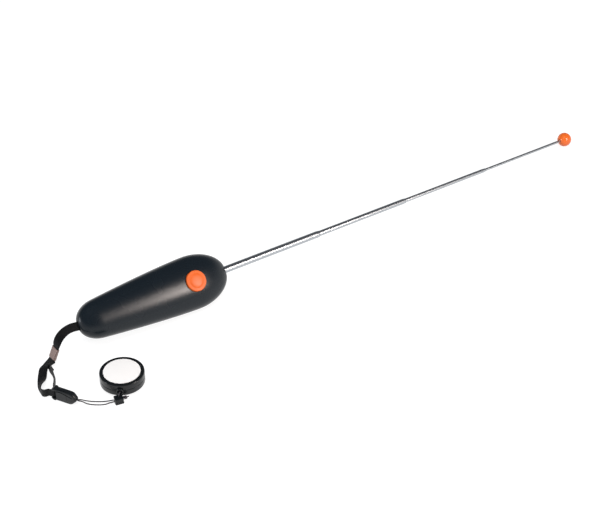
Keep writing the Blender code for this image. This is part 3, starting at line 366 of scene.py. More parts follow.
def combine(piece: Object, tools: Sequence[Object], operation: str = "DIFFERENCE") -> Object:
    """Cuts a piece with tools or joins them to it, and removes the tools.

    Args:
        piece: The piece to work on.
        tools: The solids to cut or join with.
        operation: DIFFERENCE or UNION.

    Returns:
        The finished piece, under the same name.
    """
    for tool in tools:
        step = piece.modifiers.new("combine", "BOOLEAN")
        step.operation = operation
        step.solver = "EXACT"
        step.object = tool
    mesh = worked(piece)
    name = piece.name
    for old in (piece, *tools):
        bpy.data.objects.remove(old)
    work = bmesh.new()
    work.from_mesh(mesh)
    bpy.data.meshes.remove(mesh)
    return settle_mesh(name, work)


def evened(piece: Object) -> Object:
    """Weighs a piece's normals by its faces' areas, so that slivers from a cut leave no creases.

    Args:
        piece: The piece to work on.

    Returns:
        The same piece, with a new mesh.
    """
    step = piece.modifiers.new("evened", "WEIGHTED_NORMAL")
    step.keep_sharp = True
    mesh = worked(piece)
    piece.modifiers.clear()
    old = piece.data
    piece.data = mesh
    bpy.data.meshes.remove(old)
    return piece


def joined(name: str, pieces: Sequence[Object]) -> Object:
    """Puts several pieces' meshes into one piece and removes them.

    Args:
        name: The new piece's name.
        pieces: The pieces to put together.

    Returns:
        The new object.
    """
    work = bmesh.new()
    for piece in pieces:
        work.from_mesh(piece.data)
        bpy.data.objects.remove(piece)
    mesh = bpy.data.meshes.new(name)
    work.to_mesh(mesh)
    work.free()
    return smooth_piece(name, mesh)


def smooth_route(points: Sequence[Vector], steps: int) -> list[Vector]:
    """Reads points from the smooth curve that the part's cords and ribbons follow.

    Args:
        points: The route's own points.
        steps: Points read between two of them.

    Returns:
        The points of the curve, with both ends.
    """
    route = [Vector(point) for point in points]
    padded = [2 * route[0] - route[1], *route, 2 * route[-1] - route[-2]]
    found = []
    for a, b, c, d in zip(padded, padded[1:], padded[2:], padded[3:]):
        for step in range(steps):
            t = step / steps
            square, cube = 2 * a - 5 * b + 4 * c - d, 3 * b - a - 3 * c + d
            found.append(0.5 * (2 * b + (c - a) * t + square * t**2 + cube * t**3))
    return [*found, route[-1]]


def route_length(points: Sequence[Vector]) -> float:
    """Gives a route's length in metres."""
    return sum((b - a).length for a, b in zip(points, points[1:]))


def guide_line(name: str, route: Sequence[Vector]) -> Object:
    """Makes a bare line through points, for a tree to start from.

    Args:
        name: Its name.
        route: The points.

    Returns:
        The new object.
    """
    mesh = bpy.data.meshes.new(name)
    mesh.from_pydata([tuple(point) for point in route], [(i, i + 1) for i in range(len(route) - 1)], [])
    return linked(name, mesh)


# Nodes


MATH = "ShaderNodeMath"
MULTIPLY = {"operation": "MULTIPLY"}
MIX_A, MIX_B = 6, 7  # the colour inputs of a mix node


def add_node(
    tree: Tree, kind: str, settings: dict | None = None, inputs: dict | None = None
) -> bpy.types.Node:
    """Adds a node with its settings and links.

    Args:
        tree: The tree that it goes in.
        kind: Blender's name for the node.
        settings: Its properties by name.
        inputs: Its inputs by name or number, each a value or the socket that feeds it.

    Returns:
        The new node.
    """
    node = tree.nodes.new(kind)
    for key, value in (settings or {}).items():
        setattr(node, key, value)
    for key, value in (inputs or {}).items():
        if isinstance(value, Socket):
            tree.links.new(value, node.inputs[key])
        else:
            node.inputs[key].default_value = value
    return node


def new_tree(name: str, inputs: Sequence[tuple[str, str]]) -> tuple[Tree, bpy.types.Node]:
    """Starts a Geometry Nodes tree with named inputs.

    Args:
        name: The tree's name.
        inputs: Name and socket type of each input after the geometry.

    Returns:
        The tree and its input node.
    """
    tree = bpy.data.node_groups.new(name, "GeometryNodeTree")
    for title, kind in (("Geometry", "NodeSocketGeometry"), *inputs):
        tree.interface.new_socket(title, in_out="INPUT", socket_type=kind)
    tree.interface.new_socket("Geometry", in_out="OUTPUT", socket_type="NodeSocketGeometry")
    return tree, tree.nodes.new("NodeGroupInput")


def end_tree(tree: Tree, source: bpy.types.Node, geometry: Socket) -> Tree:
    """Ends a tree by realising its instances and setting its material.

    Args:
        tree: The tree.
        source: Its input node.
        geometry: The socket that gives what it has made.

    Returns:
        The same tree.
    """
    smooth = add_node(tree, "GeometryNodeSetShadeSmooth", inputs={"Geometry": geometry})
    real = add_node(tree, "GeometryNodeRealizeInstances", inputs={"Geometry": smooth.outputs["Geometry"]})
    inputs = {"Geometry": real.outputs["Geometry"], "Material": source.outputs["Material"]}
    dressed = add_node(tree, "GeometryNodeSetMaterial", inputs=inputs)
    add_node(tree, "NodeGroupOutput", inputs={"Geometry": dressed.outputs["Geometry"]})
    return tree


def grown(name: str, guide: Object, tree: Tree, values: dict[str, object], sharp: float = SHARP) -> Object:
    """Runs a tree on a guide and keeps the result as a plain mesh piece.

    Args:
        name: The piece's name.
        guide: The mesh that the tree starts from, which is removed.
        tree: The Geometry Nodes tree.
        values: The tree's inputs by name.
        sharp: Angle in degrees from which an edge stays crisp.

    Returns:
        The new object.
    """
    step = guide.modifiers.new(name, "NODES")
    step.node_group = tree
    for item in tree.interface.items_tree:
        if item.item_type == "SOCKET" and item.in_out == "INPUT" and item.name in values:
            step[item.identifier] = values[item.name]
    mesh = worked(guide)
    guide.modifiers.clear()
    bpy.data.objects.remove(guide)
    return smooth_piece(name, mesh, sharp)


def cord_tree() -> Tree:
    """Builds the tree that lays a cord of twisted strands along a route.

    Returns:
        The new tree.
    """
    sizes = ("Radius", "Strands", "Groove", "Turns per Metre", "Step")
    asked = [(name, "NodeSocketFloat") for name in sizes]
    asked += [("Sides", "NodeSocketInt"), ("Material", "NodeSocketMaterial")]
    tree, source = new_tree("laid_cord", asked)
    given = source.outputs
    line = add_node(tree, "GeometryNodeMeshToCurve", inputs={"Mesh": given["Geometry"]})
    steps = {"Curve": line.outputs["Curve"], "Length": given["Step"]}
    even = add_node(tree, "GeometryNodeResampleCurve", {"mode": "LENGTH"}, steps)
    along = add_node(tree, "GeometryNodeSplineParameter")
    lay = {0: along.outputs["Length"], 1: given["Turns per Metre"]}
    turns = add_node(tree, MATH, MULTIPLY, lay)
    tilt = add_node(tree, MATH, MULTIPLY, {0: turns.outputs[0], 1: 2 * math.pi})
    twisted = add_node(
        tree, "GeometryNodeSetCurveTilt", inputs={"Curve": even.outputs["Curve"], "Tilt": tilt.outputs[0]}
    )
    size = {"Resolution": given["Sides"], "Radius": given["Radius"]}
    circle = add_node(tree, "GeometryNodeCurvePrimitiveCircle", {"mode": "RADIUS"}, size)
    place = add_node(tree, "GeometryNodeInputPosition")
    split = add_node(tree, "ShaderNodeSeparateXYZ", inputs={0: place.outputs[0]})
    spin = {0: split.outputs["Y"], 1: split.outputs["X"]}
    angle = add_node(tree, MATH, {"operation": "ARCTAN2"}, spin)
    share = {0: angle.outputs[0], 1: given["Strands"]}
    lobes = add_node(tree, MATH, MULTIPLY, share)
    wave = add_node(tree, MATH, {"operation": "COSINE"}, {0: lobes.outputs[0]})
    lower = add_node(tree, MATH, {"operation": "SUBTRACT"}, {0: wave.outputs[0], 1: 1.0})
    share = {0: lower.outputs[0], 1: given["Groove"]}
    depth = add_node(tree, MATH, MULTIPLY, share)
    inward = add_node(
        tree, "ShaderNodeVectorMath", {"operation": "SCALE"}, {0: place.outputs[0], "Scale": depth.outputs[0]}
    )
    moved = {"Geometry": circle.outputs["Curve"], "Offset": inward.outputs[0]}
    section = add_node(tree, "GeometryNodeSetPosition", inputs=moved)
    curves = {"Curve": twisted.outputs["Curve"], "Profile Curve": section.outputs["Geometry"]}
    tube = add_node(tree, "GeometryNodeCurveToMesh", inputs={**curves, "Fill Caps": True})
    return end_tree(tree, source, tube.outputs["Mesh"])


def repeat_tree() -> Tree:
    """Builds the tree that puts one small piece at each point of a guide, turned as the point says.

    Returns:
        The new tree.
    """
    asked = (("Piece", "NodeSocketObject"), ("Material", "NodeSocketMaterial"))
    tree, source = new_tree("repeated_piece", asked)
    piece = add_node(tree, "GeometryNodeObjectInfo", inputs={"Object": source.outputs["Piece"]})
    turn = add_node(tree, "GeometryNodeInputNamedAttribute", {"data_type": "FLOAT_VECTOR"}, {"Name": TURN})
    rotation = add_node(tree, "FunctionNodeEulerToRotation", inputs={"Euler": turn.outputs["Attribute"]})
    spots = {"Points": source.outputs["Geometry"], "Rotation": rotation.outputs["Rotation"]}
    inputs = {**spots, "Instance": piece.outputs["Geometry"]}
    placed = add_node(tree, "GeometryNodeInstanceOnPoints", inputs=inputs)
    return end_tree(tree, source, placed.outputs["Instances"])


STRAND_TURN = 0.12  # of a strand's turn in one cord radius
LAY_STEP = 0.4  # cord radii between two sections


@dataclass(frozen=True)
class Lay:
    """How a cord's strands lie and how finely it is drawn."""

    turns: float  # of the strands in a metre
    step: float  # between two sections, in metres
    groove: float = 0.07  # between two strands, as a share of the radius
    sides: int = 24
    strands: float = 6.0
    sharp: float = 60.0

    @classmethod
    def usual(cls, radius: float) -> "Lay":
        """Gives the lay of a cord that is seen from near."""
        return cls(STRAND_TURN / radius, radius * LAY_STEP)


@dataclass
class Workshop:
    """The node trees that several sub-assemblies share."""

    cord: Tree = field(default_factory=cord_tree)
    repeat: Tree = field(default_factory=repeat_tree)

    def lay_cord(
        self, name: str, route: Sequence[Vector], radius: float, finish: "Finish", lay: Lay | None = None
    ) -> Object:
        """Lays a cord of twisted strands along a route.

        Args:
            name: The piece's name.
            route: The centreline's points.
            radius: The cord's radius.
            finish: Its finish.
            lay: How its strands lie, or nothing for the usual lay.

        Returns:
            The new object.
        """
        lay = lay or Lay.usual(radius)
        values = {
            "Radius": radius,
            "Strands": lay.strands,
            "Groove": lay.groove,
            "Turns per Metre": lay.turns,
            "Step": lay.step,
            "Sides": lay.sides,
            "Material": finish.material(),
        }
        return grown(name, guide_line(name, route), self.cord, values, lay.sharp)

    def put_at(self, name: str, piece: Object, places: Sequence[Matrix], finish: "Finish") -> Object:
        """Puts a small piece at each of several places.

        Args:
            name: The name of the result.
            piece: The small piece, which is removed.
            places: Its places.
            finish: Its finish.

        Returns:
            The new object, with all of them in one mesh.
        """
        mesh = bpy.data.meshes.new(name)
        mesh.from_pydata([tuple(place.to_translation()) for place in places], [], [])
        turns = mesh.attributes.new(TURN, "FLOAT_VECTOR", "POINT")
        for spot, place in zip(turns.data, places):
            spot.vector = tuple(place.to_euler())
        values = {"Piece": piece, "Material": finish.material()}
        made = grown(name, linked(name, mesh), self.repeat, values)
        bpy.data.objects.remove(piece)
        return made


# Finishes


class Grain(Enum):
    """The patterns that a finish can carry."""

    SPARKED = "fine mould texture"
    POLISHED = "smooth mould with faint waves"
    DRAWN = "lines drawn along the piece"
    WOVEN = "plain weave"
    FIBRE = "fine fibres"


DRAW_LENGTH = 60  # times as long as it is wide: one line of a drawn metal
BROAD = 0.03  # scale of a moulding's slow changes, beside its fine pattern
SHEEN_ROUGHNESS = 0.4


def linear(colour: str) -> tuple[float, float, float, float]:
    """Turns an sRGB hex colour into linear numbers.

    Args:
        colour: The colour, such as #d9dadb.

    Returns:
        Red, green, blue and 1.
    """
    channels = [int(colour[i : i + 2], 16) / 255 for i in (1, 3, 5)]
    return (*(c / 12.92 if c <= 0.04045 else ((c + 0.055) / 1.055) ** 2.4 for c in channels), 1.0)


@dataclass(frozen=True)
class Finish:
    """A real material and how its surface was made."""

    name: str
    slot: str
    colour: str
    shade: str  # what the pattern mixes in, or the same where the colour is even
    roughness: float
    grain: Grain
    size: float  # of the pattern, in metres
    relief: float  # of the pattern, in metres
    metallic: float = 0.0
    ior: float = 1.5
    uneven: float = 0.06  # how far the roughness goes up and down
    specular: float = 0.5
    sheen: float = 0.0

    def material(self) -> bpy.types.Material:
        """Gives the finish's material, made once.

        Returns:
            The material, with its pattern in colour, roughness and relief.
        """
        found = bpy.data.materials.get(self.name)
        if found:
            return found
        made = bpy.data.materials.new(self.name)
        made.use_nodes = True
        tree = made.node_tree
        shader = tree.nodes["Principled BSDF"]
        shader.inputs["Metallic"].default_value = self.metallic
        shader.inputs["Specular IOR Level"].default_value = self.specular
        shader.inputs["Sheen Weight"].default_value = self.sheen
        shader.inputs["Sheen Roughness"].default_value = SHEEN_ROUGHNESS
        if not self.metallic:
            shader.inputs["IOR"].default_value = self.ior
        broad, fine = self.pattern(tree)
        if self.shade == self.colour:
            shader.inputs["Base Color"].default_value = linear(self.colour)
        else:
            mixed = {0: broad, MIX_A: linear(self.colour), MIX_B: linear(self.shade)}
            colour = add_node(tree, "ShaderNodeMix", {"data_type": "RGBA"}, mixed)
            tree.links.new(colour.outputs[2], shader.inputs["Base Color"])
        least, most = max(0.0, self.roughness - self.uneven), min(1.0, self.roughness + self.uneven)
        limits = {"Value": broad, "To Min": least, "To Max": most}
        rough = add_node(tree, "ShaderNodeMapRange", inputs=limits)
        bump = add_node(
            tree, "ShaderNodeBump", inputs={"Strength": 1.0, "Distance": self.relief, "Height": fine}
        )
        tree.links.new(rough.outputs[0], shader.inputs["Roughness"])
        tree.links.new(bump.outputs[0], shader.inputs["Normal"])
        return made

    def pattern(self, tree: Tree) -> tuple[Socket, Socket]:
        """Builds the finish's pattern.

        Args:
            tree: The material's tree.

        Returns:
            The broad part, which changes colour and roughness, and the fine part, which makes the relief.
        """
        if self.grain is Grain.WOVEN:
            return self.weave(tree)
        if self.grain is Grain.DRAWN:
            place = add_node(tree, "ShaderNodeUVMap", {"uv_map": SURFACE}).outputs["UV"]
            stretch = (1 / (self.size * DRAW_LENGTH), 1 / self.size, 1.0)
        else:
            place = add_node(tree, "ShaderNodeTexCoord").outputs["Object"]
            stretch = (1 / self.size,) * 3
        sized = add_node(tree, "ShaderNodeMapping", inputs={"Vector": place, "Scale": stretch})
        noise = {"Vector": sized.outputs[0], "Scale": 1.0, "Detail": 3.0, "Roughness": 0.55}
        fine = add_node(tree, "ShaderNodeTexNoise", inputs=noise)
        spread = 1.0 if self.grain in (Grain.DRAWN, Grain.FIBRE) else BROAD
        noise = {"Vector": sized.outputs[0], "Scale": spread, "Detail": 2.0, "Roughness": 0.5}
        broad = add_node(tree, "ShaderNodeTexNoise", inputs=noise)
        return broad.outputs["Fac"], fine.outputs["Fac"]

    def weave(self, tree: Tree) -> tuple[Socket, Socket]:
        """Builds a plain weave on the UV map, whose threads are as far apart as the finish's size.

        Args:
            tree: The material's tree.

        Returns:
            The colour share: painted shade, darker in the weave's hollows and lighter on the threads' crowns,
                broken up at random by the fine hairs; and the threads' height.
        """
        place = add_node(tree, "ShaderNodeUVMap", {"uv_map": SURFACE}).outputs["UV"]
        split = add_node(tree, "ShaderNodeSeparateXYZ", inputs={0: place})
        waves = []
        for axis in ("X", "Y"):
            pitch = {0: split.outputs[axis], 1: math.pi / self.size}
            turns = add_node(tree, MATH, MULTIPLY, pitch)
            wave = add_node(tree, MATH, {"operation": "SINE"}, {0: turns.outputs[0]})
            waves.append(wave.outputs[0])
        both = add_node(tree, MATH, MULTIPLY, {0: waves[0], 1: waves[1]})
        height = add_node(tree, MATH, {"operation": "MULTIPLY_ADD"}, {0: both.outputs[0], 1: 0.5, 2: 0.5})
        noise = {"Vector": place, "Scale": 2 / self.size, "Detail": 2.0, "Roughness": 0.6}
        hairs = add_node(tree, "ShaderNodeTexNoise", inputs=noise)
        # Painted shade: the colour follows the threads' height, so it is darker in the hollows between them
        hollow_shade = add_node(tree, MATH, MULTIPLY, {0: height.outputs[0], 1: hairs.outputs["Fac"]})
        return hollow_shade.outputs[0], height.outputs[0]


# Moulded ABS, coloured through, with a fine spark-eroded texture: satin blue-black. Drawn at 0.7 mm to show.
HANDLE_ABS = Finish(
    "moulded_abs_black", "handle_abs", "#10171d", "#10171d",
    0.27, Grain.SPARKED, 0.0007, 0.0000012, uneven=0.03, specular=0.30,
)
# Moulded ABS in signal orange: strong and satin.
BUTTON_ABS = Finish(
    "moulded_abs_orange", "button_abs", "#cb581f", "#d5642a",
    0.42, Grain.SPARKED, 0.0008, 0.000003, specular=0.35,
)
# The ball's harder, glossier moulding in the same orange.
BALL_ABS = Finish(
    "polished_abs_orange", "ball_abs", "#cf5a18", "#d6641f",
    0.22, Grain.POLISHED, 0.0015, 0.000008,
)
# Chrome plate on drawn steel tube: bright, softened along faint draw lines, 0.3 mm apart so that they show.
CHROME = Finish(
    "chrome_plate_drawn", "plated_steel", "#b4b8bc", "#a5aaae",
    0.36, Grain.DRAWN, 0.0003, 0.0000012, metallic=1.0, uneven=0.03,
)
# Bronze strip of the glide sleeves: warm, brushed metal.
BRONZE = Finish(
    "brushed_bronze", "spring_bronze", "#b98a52", "#9d7240",
    0.30, Grain.DRAWN, 0.0003, 0.000003, metallic=1.0, uneven=0.05,
)
# Rolled spring steel of the clip and the blade: grey metal with a rolled grain.
SPRING_STEEL = Finish(
    "rolled_spring_steel", "spring_steel", "#9b9fa3", "#84888c",
    0.28, Grain.SPARKED, 0.0006, 0.000004, metallic=1.0,
)
# Undyed nylon of the inner mouldings: milky and dull.
NYLON = Finish(
    "natural_nylon", "natural_nylon", "#dcd6c4", "#cfc8b3",
    0.5, Grain.SPARKED, 0.0008, 0.00001, ior=1.53,
)
# Zinc plate on screws, rivets and pin: pale blue-grey with crystals.
ZINC = Finish(
    "zinc_plated_steel", "zinc_steel", "#b4babf", "#a2a9af",
    0.32, Grain.SPARKED, 0.0004, 0.000004, metallic=1.0,
)
# Polyester webbing in plain weave, black with a soft sheen, darker in the weave's hollows as painted shade.
# Its 0.45 mm threads are drawn at 0.75 mm to show.
WEBBING = Finish(
    "woven_polyester_black", "polyester_webbing", "#040506", "#111215",
    0.7, Grain.WOVEN, 0.00075, 0.00016, specular=0.25, sheen=0.02,
)
# Nickel-plated brass strip of the crimp: warm grey metal, brushed along the strap.
CRIMP_METAL = Finish(
    "brushed_nickel_strip", "crimp_metal", "#97837d", "#5d4e4b",
    0.34, Grain.DRAWN, 0.0005, 0.000008, metallic=1.0, uneven=0.1,
)
# Moulded acetal of the buckle and the block: black, slightly waxy.
ACETAL = Finish(
    "moulded_acetal_black", "black_acetal", "#0c0f11", "#14171a",
    0.30, Grain.SPARKED, 0.0008, 0.000006, specular=0.3,
)
# Thin laid nylon cord: dark grey-brown with fine fibres.
CORD_NYLON = Finish(
    "laid_nylon_cord", "nylon_cord", "#191618", "#37323a",
    0.55, Grain.FIBRE, 0.0003, 0.00002, sheen=0.2,
)
# Polished ABS of the reel's case: black, glossy, with faint waves from the mould.
REEL_ABS = Finish(
    "polished_abs_black", "reel_abs", "#0b0e10", "#121517",
    0.20, Grain.POLISHED, 0.002, 0.000006, specular=0.35,
)
# White vinyl of the label: half matt with a faint orange peel.
LABEL_VINYL = Finish(
    "white_vinyl", "white_label", "#e6e5e4", "#e0dfde",
    0.42, Grain.POLISHED, 0.0012, 0.000005,
)


class Body(Enum):
    """The CAD bodies that pieces ride on."""

    HANDLE = "handle"
    BUTTON = "button"
    SECTION_1 = "section_1"
    SECTION_2 = "section_2"
    SECTION_3 = "section_3"
    SECTION_4 = "section_4"
    REEL = "reel"
    SPOOL = "spool"
    CLIP = "clip"


def dress(piece: Object, body: Body, finish: Finish, *nodes: str) -> Object:
    """Gives a piece its finish and body, and lets it stand for CAD nodes.

    Args:
        piece: The finished piece.
        body: The body that it rides on.
        finish: Its finish.
        nodes: The CAD nodes that it stands for.

    Returns:
        The same piece.
    """
    piece.data.materials.clear()
    piece.data.materials.append(finish.material())
    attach(piece, body.value)
    if nodes:
        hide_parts(*nodes)
    LOG.info("%s: %d faces on %s", piece.name, len(piece.data.polygons), body.value)
    return piece


def refinish(finish: Finish, *nodes: str) -> None:
    """Gives CAD nodes that stay a better finish.

    Args:
        finish: The finish.
        nodes: The nodes' names.
    """
    for name in nodes:
        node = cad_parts[name]
        for slot in node.material_slots:
            slot.material = finish.material()


# Handle and rod


@dataclass
class HandleShape:
    """The handle's outline: a flattened egg that narrows to the tail. Distances run back from its nose."""

    length: float = HANDLE_LENGTH
    half_width: float = 0.0281
    half_thickness: float = 0.018
    shoulder: float = 0.040
    nose_cap: float = 0.042
    nose_round: float = 0.0009
    tail_cap: float = 0.023
    tail_fullness: float = 2.3
    taper_width: float = 0.0105
    taper_thickness: float = 0.0055
    taper_power: float = 1.4
    power: float = 2.3
    seam_gap: float = 0.0003
    seam_round: float = 0.00035
    seam_share: float = 0.6  # of the first step's height that the seam's round may take
    steps: int = 72  # round the whole section
    seam_steps: int = 4
    round_steps: int = 5
    nose_steps: int = 26
    body_steps: int = 30
    tail_steps: int = 30
    tail_last: float = 87.0  # degrees round the tail at which the last section is drawn

    def halves(self, distance: float) -> Pair:
        """Gives the half width and half thickness at a distance.

        Args:
            distance: Distance back from the nose face.

        Returns:
            Half the width and half the thickness.
        """
        taper = max(0.0, (distance - self.shoulder) / (self.length - self.shoulder)) ** self.taper_power
        cap = 1.0
        if distance < self.shoulder:
            cap = math.sqrt(1 - ((self.shoulder - distance) / self.nose_cap) ** 2)
        tail = distance - (self.length - self.tail_cap)
        if tail > 0:
            cap = max(0.0, 1 - (tail / self.tail_cap) ** self.tail_fullness) ** (1 / self.tail_fullness)
        trim = 0.0
        if distance < self.nose_round:
            trim = self.nose_round * (1 - math.sqrt(1 - (1 - distance / self.nose_round) ** 2))
        width = (self.half_width - self.taper_width * taper) * cap - trim
        return width, (self.half_thickness - self.taper_thickness * taper) * cap - trim

    def height(self, distance: float, side: float) -> float:
        """Gives the surface's height above the seam, at a distance back and to the side."""
        width, thickness = self.halves(distance)
        return thickness * (1 - abs(side / width) ** self.power) ** (1 / self.power)

    def stations(self) -> list[float]:
        """Gives the distances at which the outer skin's sections are drawn.

        Returns:
            The distances, from the nose to the tail.
        """
        quarter, count = math.pi / 2, self.round_steps
        found = [self.nose_round * (1 - math.cos(quarter * step / count)) for step in range(count)]
        start = math.acos((self.shoulder - self.nose_round) / self.nose_cap)
        for step in range(self.nose_steps):
            angle = start + (quarter - start) * step / self.nose_steps
            found.append(self.shoulder - self.nose_cap * math.cos(angle))
        body_end = self.length - self.tail_cap
        span = body_end - self.shoulder
        found += [self.shoulder + span * step / self.body_steps for step in range(self.body_steps)]
        for step in range(self.tail_steps + 1):
            turn = math.sin(math.radians(self.tail_last) * step / self.tail_steps)
            found.append(body_end + self.tail_cap * turn ** (2 / self.tail_fullness))
        return found

    def section(self, distance: float, side: int, inset: float) -> Ring:
        """Draws half of the section: above the seam, or below it for side -1.

        Args:
            distance: Distance back from the nose face.
            side: 1 for the top half and -1 for the bottom half.
            inset: How far the line lies inside the outer skin. With 0 its edges are rounded at the seam.

        Returns:
            The points from one seam edge over the half to the other.
        """
        width, thickness = self.halves(distance)
        power = 2 / self.power
        lowest = 0.0 if inset else self.seam_gap / 2
        first = (thickness - inset) * math.sin(math.pi / self.steps) ** power
        edge = 0.0 if inset else min(self.seam_round, self.seam_share * max(first - lowest, 0.0))
        spots = [(width - inset, 0.0)] if inset else []
        for step in range(0 if inset else self.seam_steps):
            share = step / self.seam_steps
            spots.append((width - edge * (1 - math.sqrt(1 - (1 - share) ** 2)), lowest + edge * share))
        for step in range(1, self.steps // 2 + 1):
            angle = math.pi * step / self.steps
            across = (width - inset) * abs(math.cos(angle)) ** power
            spots.append((across, max((thickness - inset) * math.sin(angle) ** power, lowest + edge)))
        points = [Vector((-distance, x, side * y)) for x, y in spots]
        return points + [Vector((-distance, -x, side * y)) for x, y in reversed(spots[:-1])]


@dataclass
class Handle:
    """The two moulded shells, their screws, and what sits between them."""

    shape: HandleShape = field(default_factory=HandleShape)
    wall: float = 0.0022
    chambers: tuple[Pair, ...] = ((0.0090, 0.0716), (0.0740, 0.1256), (0.1280, 0.1394), (0.1418, 0.1639))
    chamber_steps: int = 12
    screw_spots: tuple[Pair, ...] = (
        (0.026, 0.015), (0.026, -0.015), (0.0998, 0.014), (0.0998, -0.014), (0.151, 0.0),
    )
    boss_radius: float = 0.0038
    screw_depth: float = 0.0032
    screw_head: float = 0.0025
    screw_head_height: float = 0.0014
    screw_shank: float = 0.00125
    screw_length: float = 0.018
    screw_tip: Pair = (0.0003, 0.0018)  # where its point's cone starts and ends
    screw_crown: Pair = (0.55, 0.72)  # shares of its head's height and radius where its dome starts and ends
    recess: tuple[float, float, float] = (0.0015, 0.0007, 0.0009)  # reach outside and inside, and depth
    recess_width: float = 0.00055
    button_opening: float = 0.0111
    seat_z: float = 0.0142
    seat_radius: float = 0.0135
    section_1_radius: float = 0.0037
    base_tube_radius: float = 0.0044
    base_mouth: float = 0.0043
    channel_end: float = 0.1394
    pin_seat: float = 0.0009  # how far the pin's end goes into the wall
    slot: tuple[float, float, float] = (0.0098, 0.0046, 0.0012)  # width, height and corner

    def screw_places(self) -> list[Matrix]:
        """Gives the places of the screws' seats in the stick's frame.

        Returns:
            One place for each screw.
        """
        found = []
        for distance, side in self.screw_spots:
            seat = self.screw_depth - self.shape.height(distance, side)
            found.append(Matrix.Translation((-distance, side, seat)))
        return found

    def hollows(self, side: int) -> list[Object]:
        """Makes the solids that hollow one shell.

        Args:
            side: 1 for the top shell and -1 for the bottom one.

        Returns:
            The cutters, in the stick's place.
        """
        shape, found = self.shape, []
        tall = shape.half_thickness + SWEEP
        for index, (start, end) in enumerate(self.chambers):
            rings = []
            for step in range(self.chamber_steps + 1):
                distance = start + (end - start) * step / self.chamber_steps
                ring = shape.section(distance, side, self.wall)
                ring += [Vector((corner.x, corner.y, -side * SWEEP)) for corner in (ring[-1], ring[0])]
                rings.append([STICK @ point for point in ring])
            chamber = loft(f"chamber_{index}", rings)
            posts = []
            for distance, offset in self.screw_spots:
                if start < distance < end:
                    post = (self.boss_radius, -tall, tall, PIN_SIDES, on_stick(-distance, offset))
                    posts.append(bar("post", *post))
            if side == 1 and index == 0:
                seat = (self.seat_radius, self.seat_z, tall, BUTTON_SIDES, on_stick(-BUTTON_BACK))
                posts.append(bar("seat", *seat))
            found.append(combine(chamber, posts) if posts else chamber)
        slide, base = self.section_1_radius + GAP, self.base_tube_radius + GAP
        channel = [(0, SWEEP), (slide, SWEEP), (slide, GAP - self.base_mouth), (base, GAP - self.base_mouth)]
        channel += [(base, -self.channel_end), (0, -self.channel_end)]
        found.append(lathe("channel", channel, TUBE_SIDES, STICK @ ALONG_X))
        bore, sink, deep = self.screw_shank + GAP, self.screw_head + GAP, self.screw_length + GAP
        hole = [(0, deep), (bore, deep), (bore, 0), (sink, 0)]
        hole += [(sink, -shape.half_thickness), (0, -shape.half_thickness)]
        for place in self.screw_places():
            found.append(lathe("screw_hole", hole, SCREW_HOLE_SIDES, STICK @ place))
        outline = rounded_section(*self.slot)
        rings = []
        for x in (-shape.length - SWEEP, PIN_BACK - shape.length):
            rings.append([STICK @ Vector((x, point.x, point.y)) for point in outline])
        found.append(loft("strap_slot", rings))
        reach = shape.halves(shape.length - PIN_BACK)[0] - self.wall + self.pin_seat + GAP
        place = on_stick(PIN_BACK - shape.length) @ ALONG_Y
        found.append(bar("pin_socket", PIN_RADIUS + GAP, -reach, reach, PIN_SIDES, place))
        if side == 1:
            opening = (self.button_opening, self.seat_z - SWEEP, tall, BUTTON_SIDES, on_stick(-BUTTON_BACK))
            found.append(bar("button_opening", *opening))
        return found

    def shell(self, side: int, name: str) -> Object:
        """Makes one shell, with its hollows, button opening and screw holes.

        Args:
            side: 1 for the top shell and -1 for the bottom one.
            name: The piece's name.

        Returns:
            The new object.
        """
        rings = []
        for distance in self.shape.stations():
            rings.append([STICK @ point for point in self.shape.section(distance, side, 0.0)])
        return evened(combine(loft(name, rings), self.hollows(side)))

    def screw(self) -> Object:
        """Makes one pan-head screw with a cross recess, with its seat at the origin and its head below.

        Returns:
            The new object.
        """
        head = -GAP - self.screw_head_height
        profile = [
            (0, self.screw_length),
            (self.screw_shank * 0.5, self.screw_length - self.screw_tip[0]),
            (self.screw_shank, self.screw_length - self.screw_tip[1]),
            (self.screw_shank, -GAP),
            (self.screw_head, -GAP),
            (self.screw_head, head + self.screw_head_height * self.screw_crown[0], 0.0006),
            (self.screw_head * self.screw_crown[1], head, 0.0008),
            (0, head),
        ]
        made = lathe("screw", rounded(profile), PIN_SIDES)
        outside, inside, deep = self.recess
        cuts = []
        for turn in (0.0, math.pi / 2):
            place = Matrix.Rotation(turn, 4, "Z")
            rings = []
            for height, reach in ((head - SWEEP, outside), (head + deep, inside)):
                outline = rounded_section(2 * reach, self.recess_width, FINE, 2)
                rings.append(lifted(outline, height, place))
            cuts.append(loft("recess", rings))
        return combine(made, cuts)

    def build(self, shop: Workshop) -> None:
        """Builds the shells and screws and dresses what stays of the CAD.

        Args:
            shop: The shared node trees.
        """
        for side, half in ((1, "top"), (-1, "bottom")):
            shell = self.shell(side, f"{half}_shell_skin")
            dress(shell, Body.HANDLE, HANDLE_ABS, f"handle_{half}_shell")
        places = [STICK @ place for place in self.screw_places()]
        screws = shop.put_at("shell_screws", self.screw(), places, ZINC)
        dress(screws, Body.HANDLE, ZINC, *(f"case_screw_{index + 1}" for index in range(len(places))))
        refinish(ZINC, "blade_rivet_1", "blade_rivet_2", "strap_pin")
        refinish(NYLON, "click_block", "base_tube_plug")
        refinish(SPRING_STEEL, "click_blade")


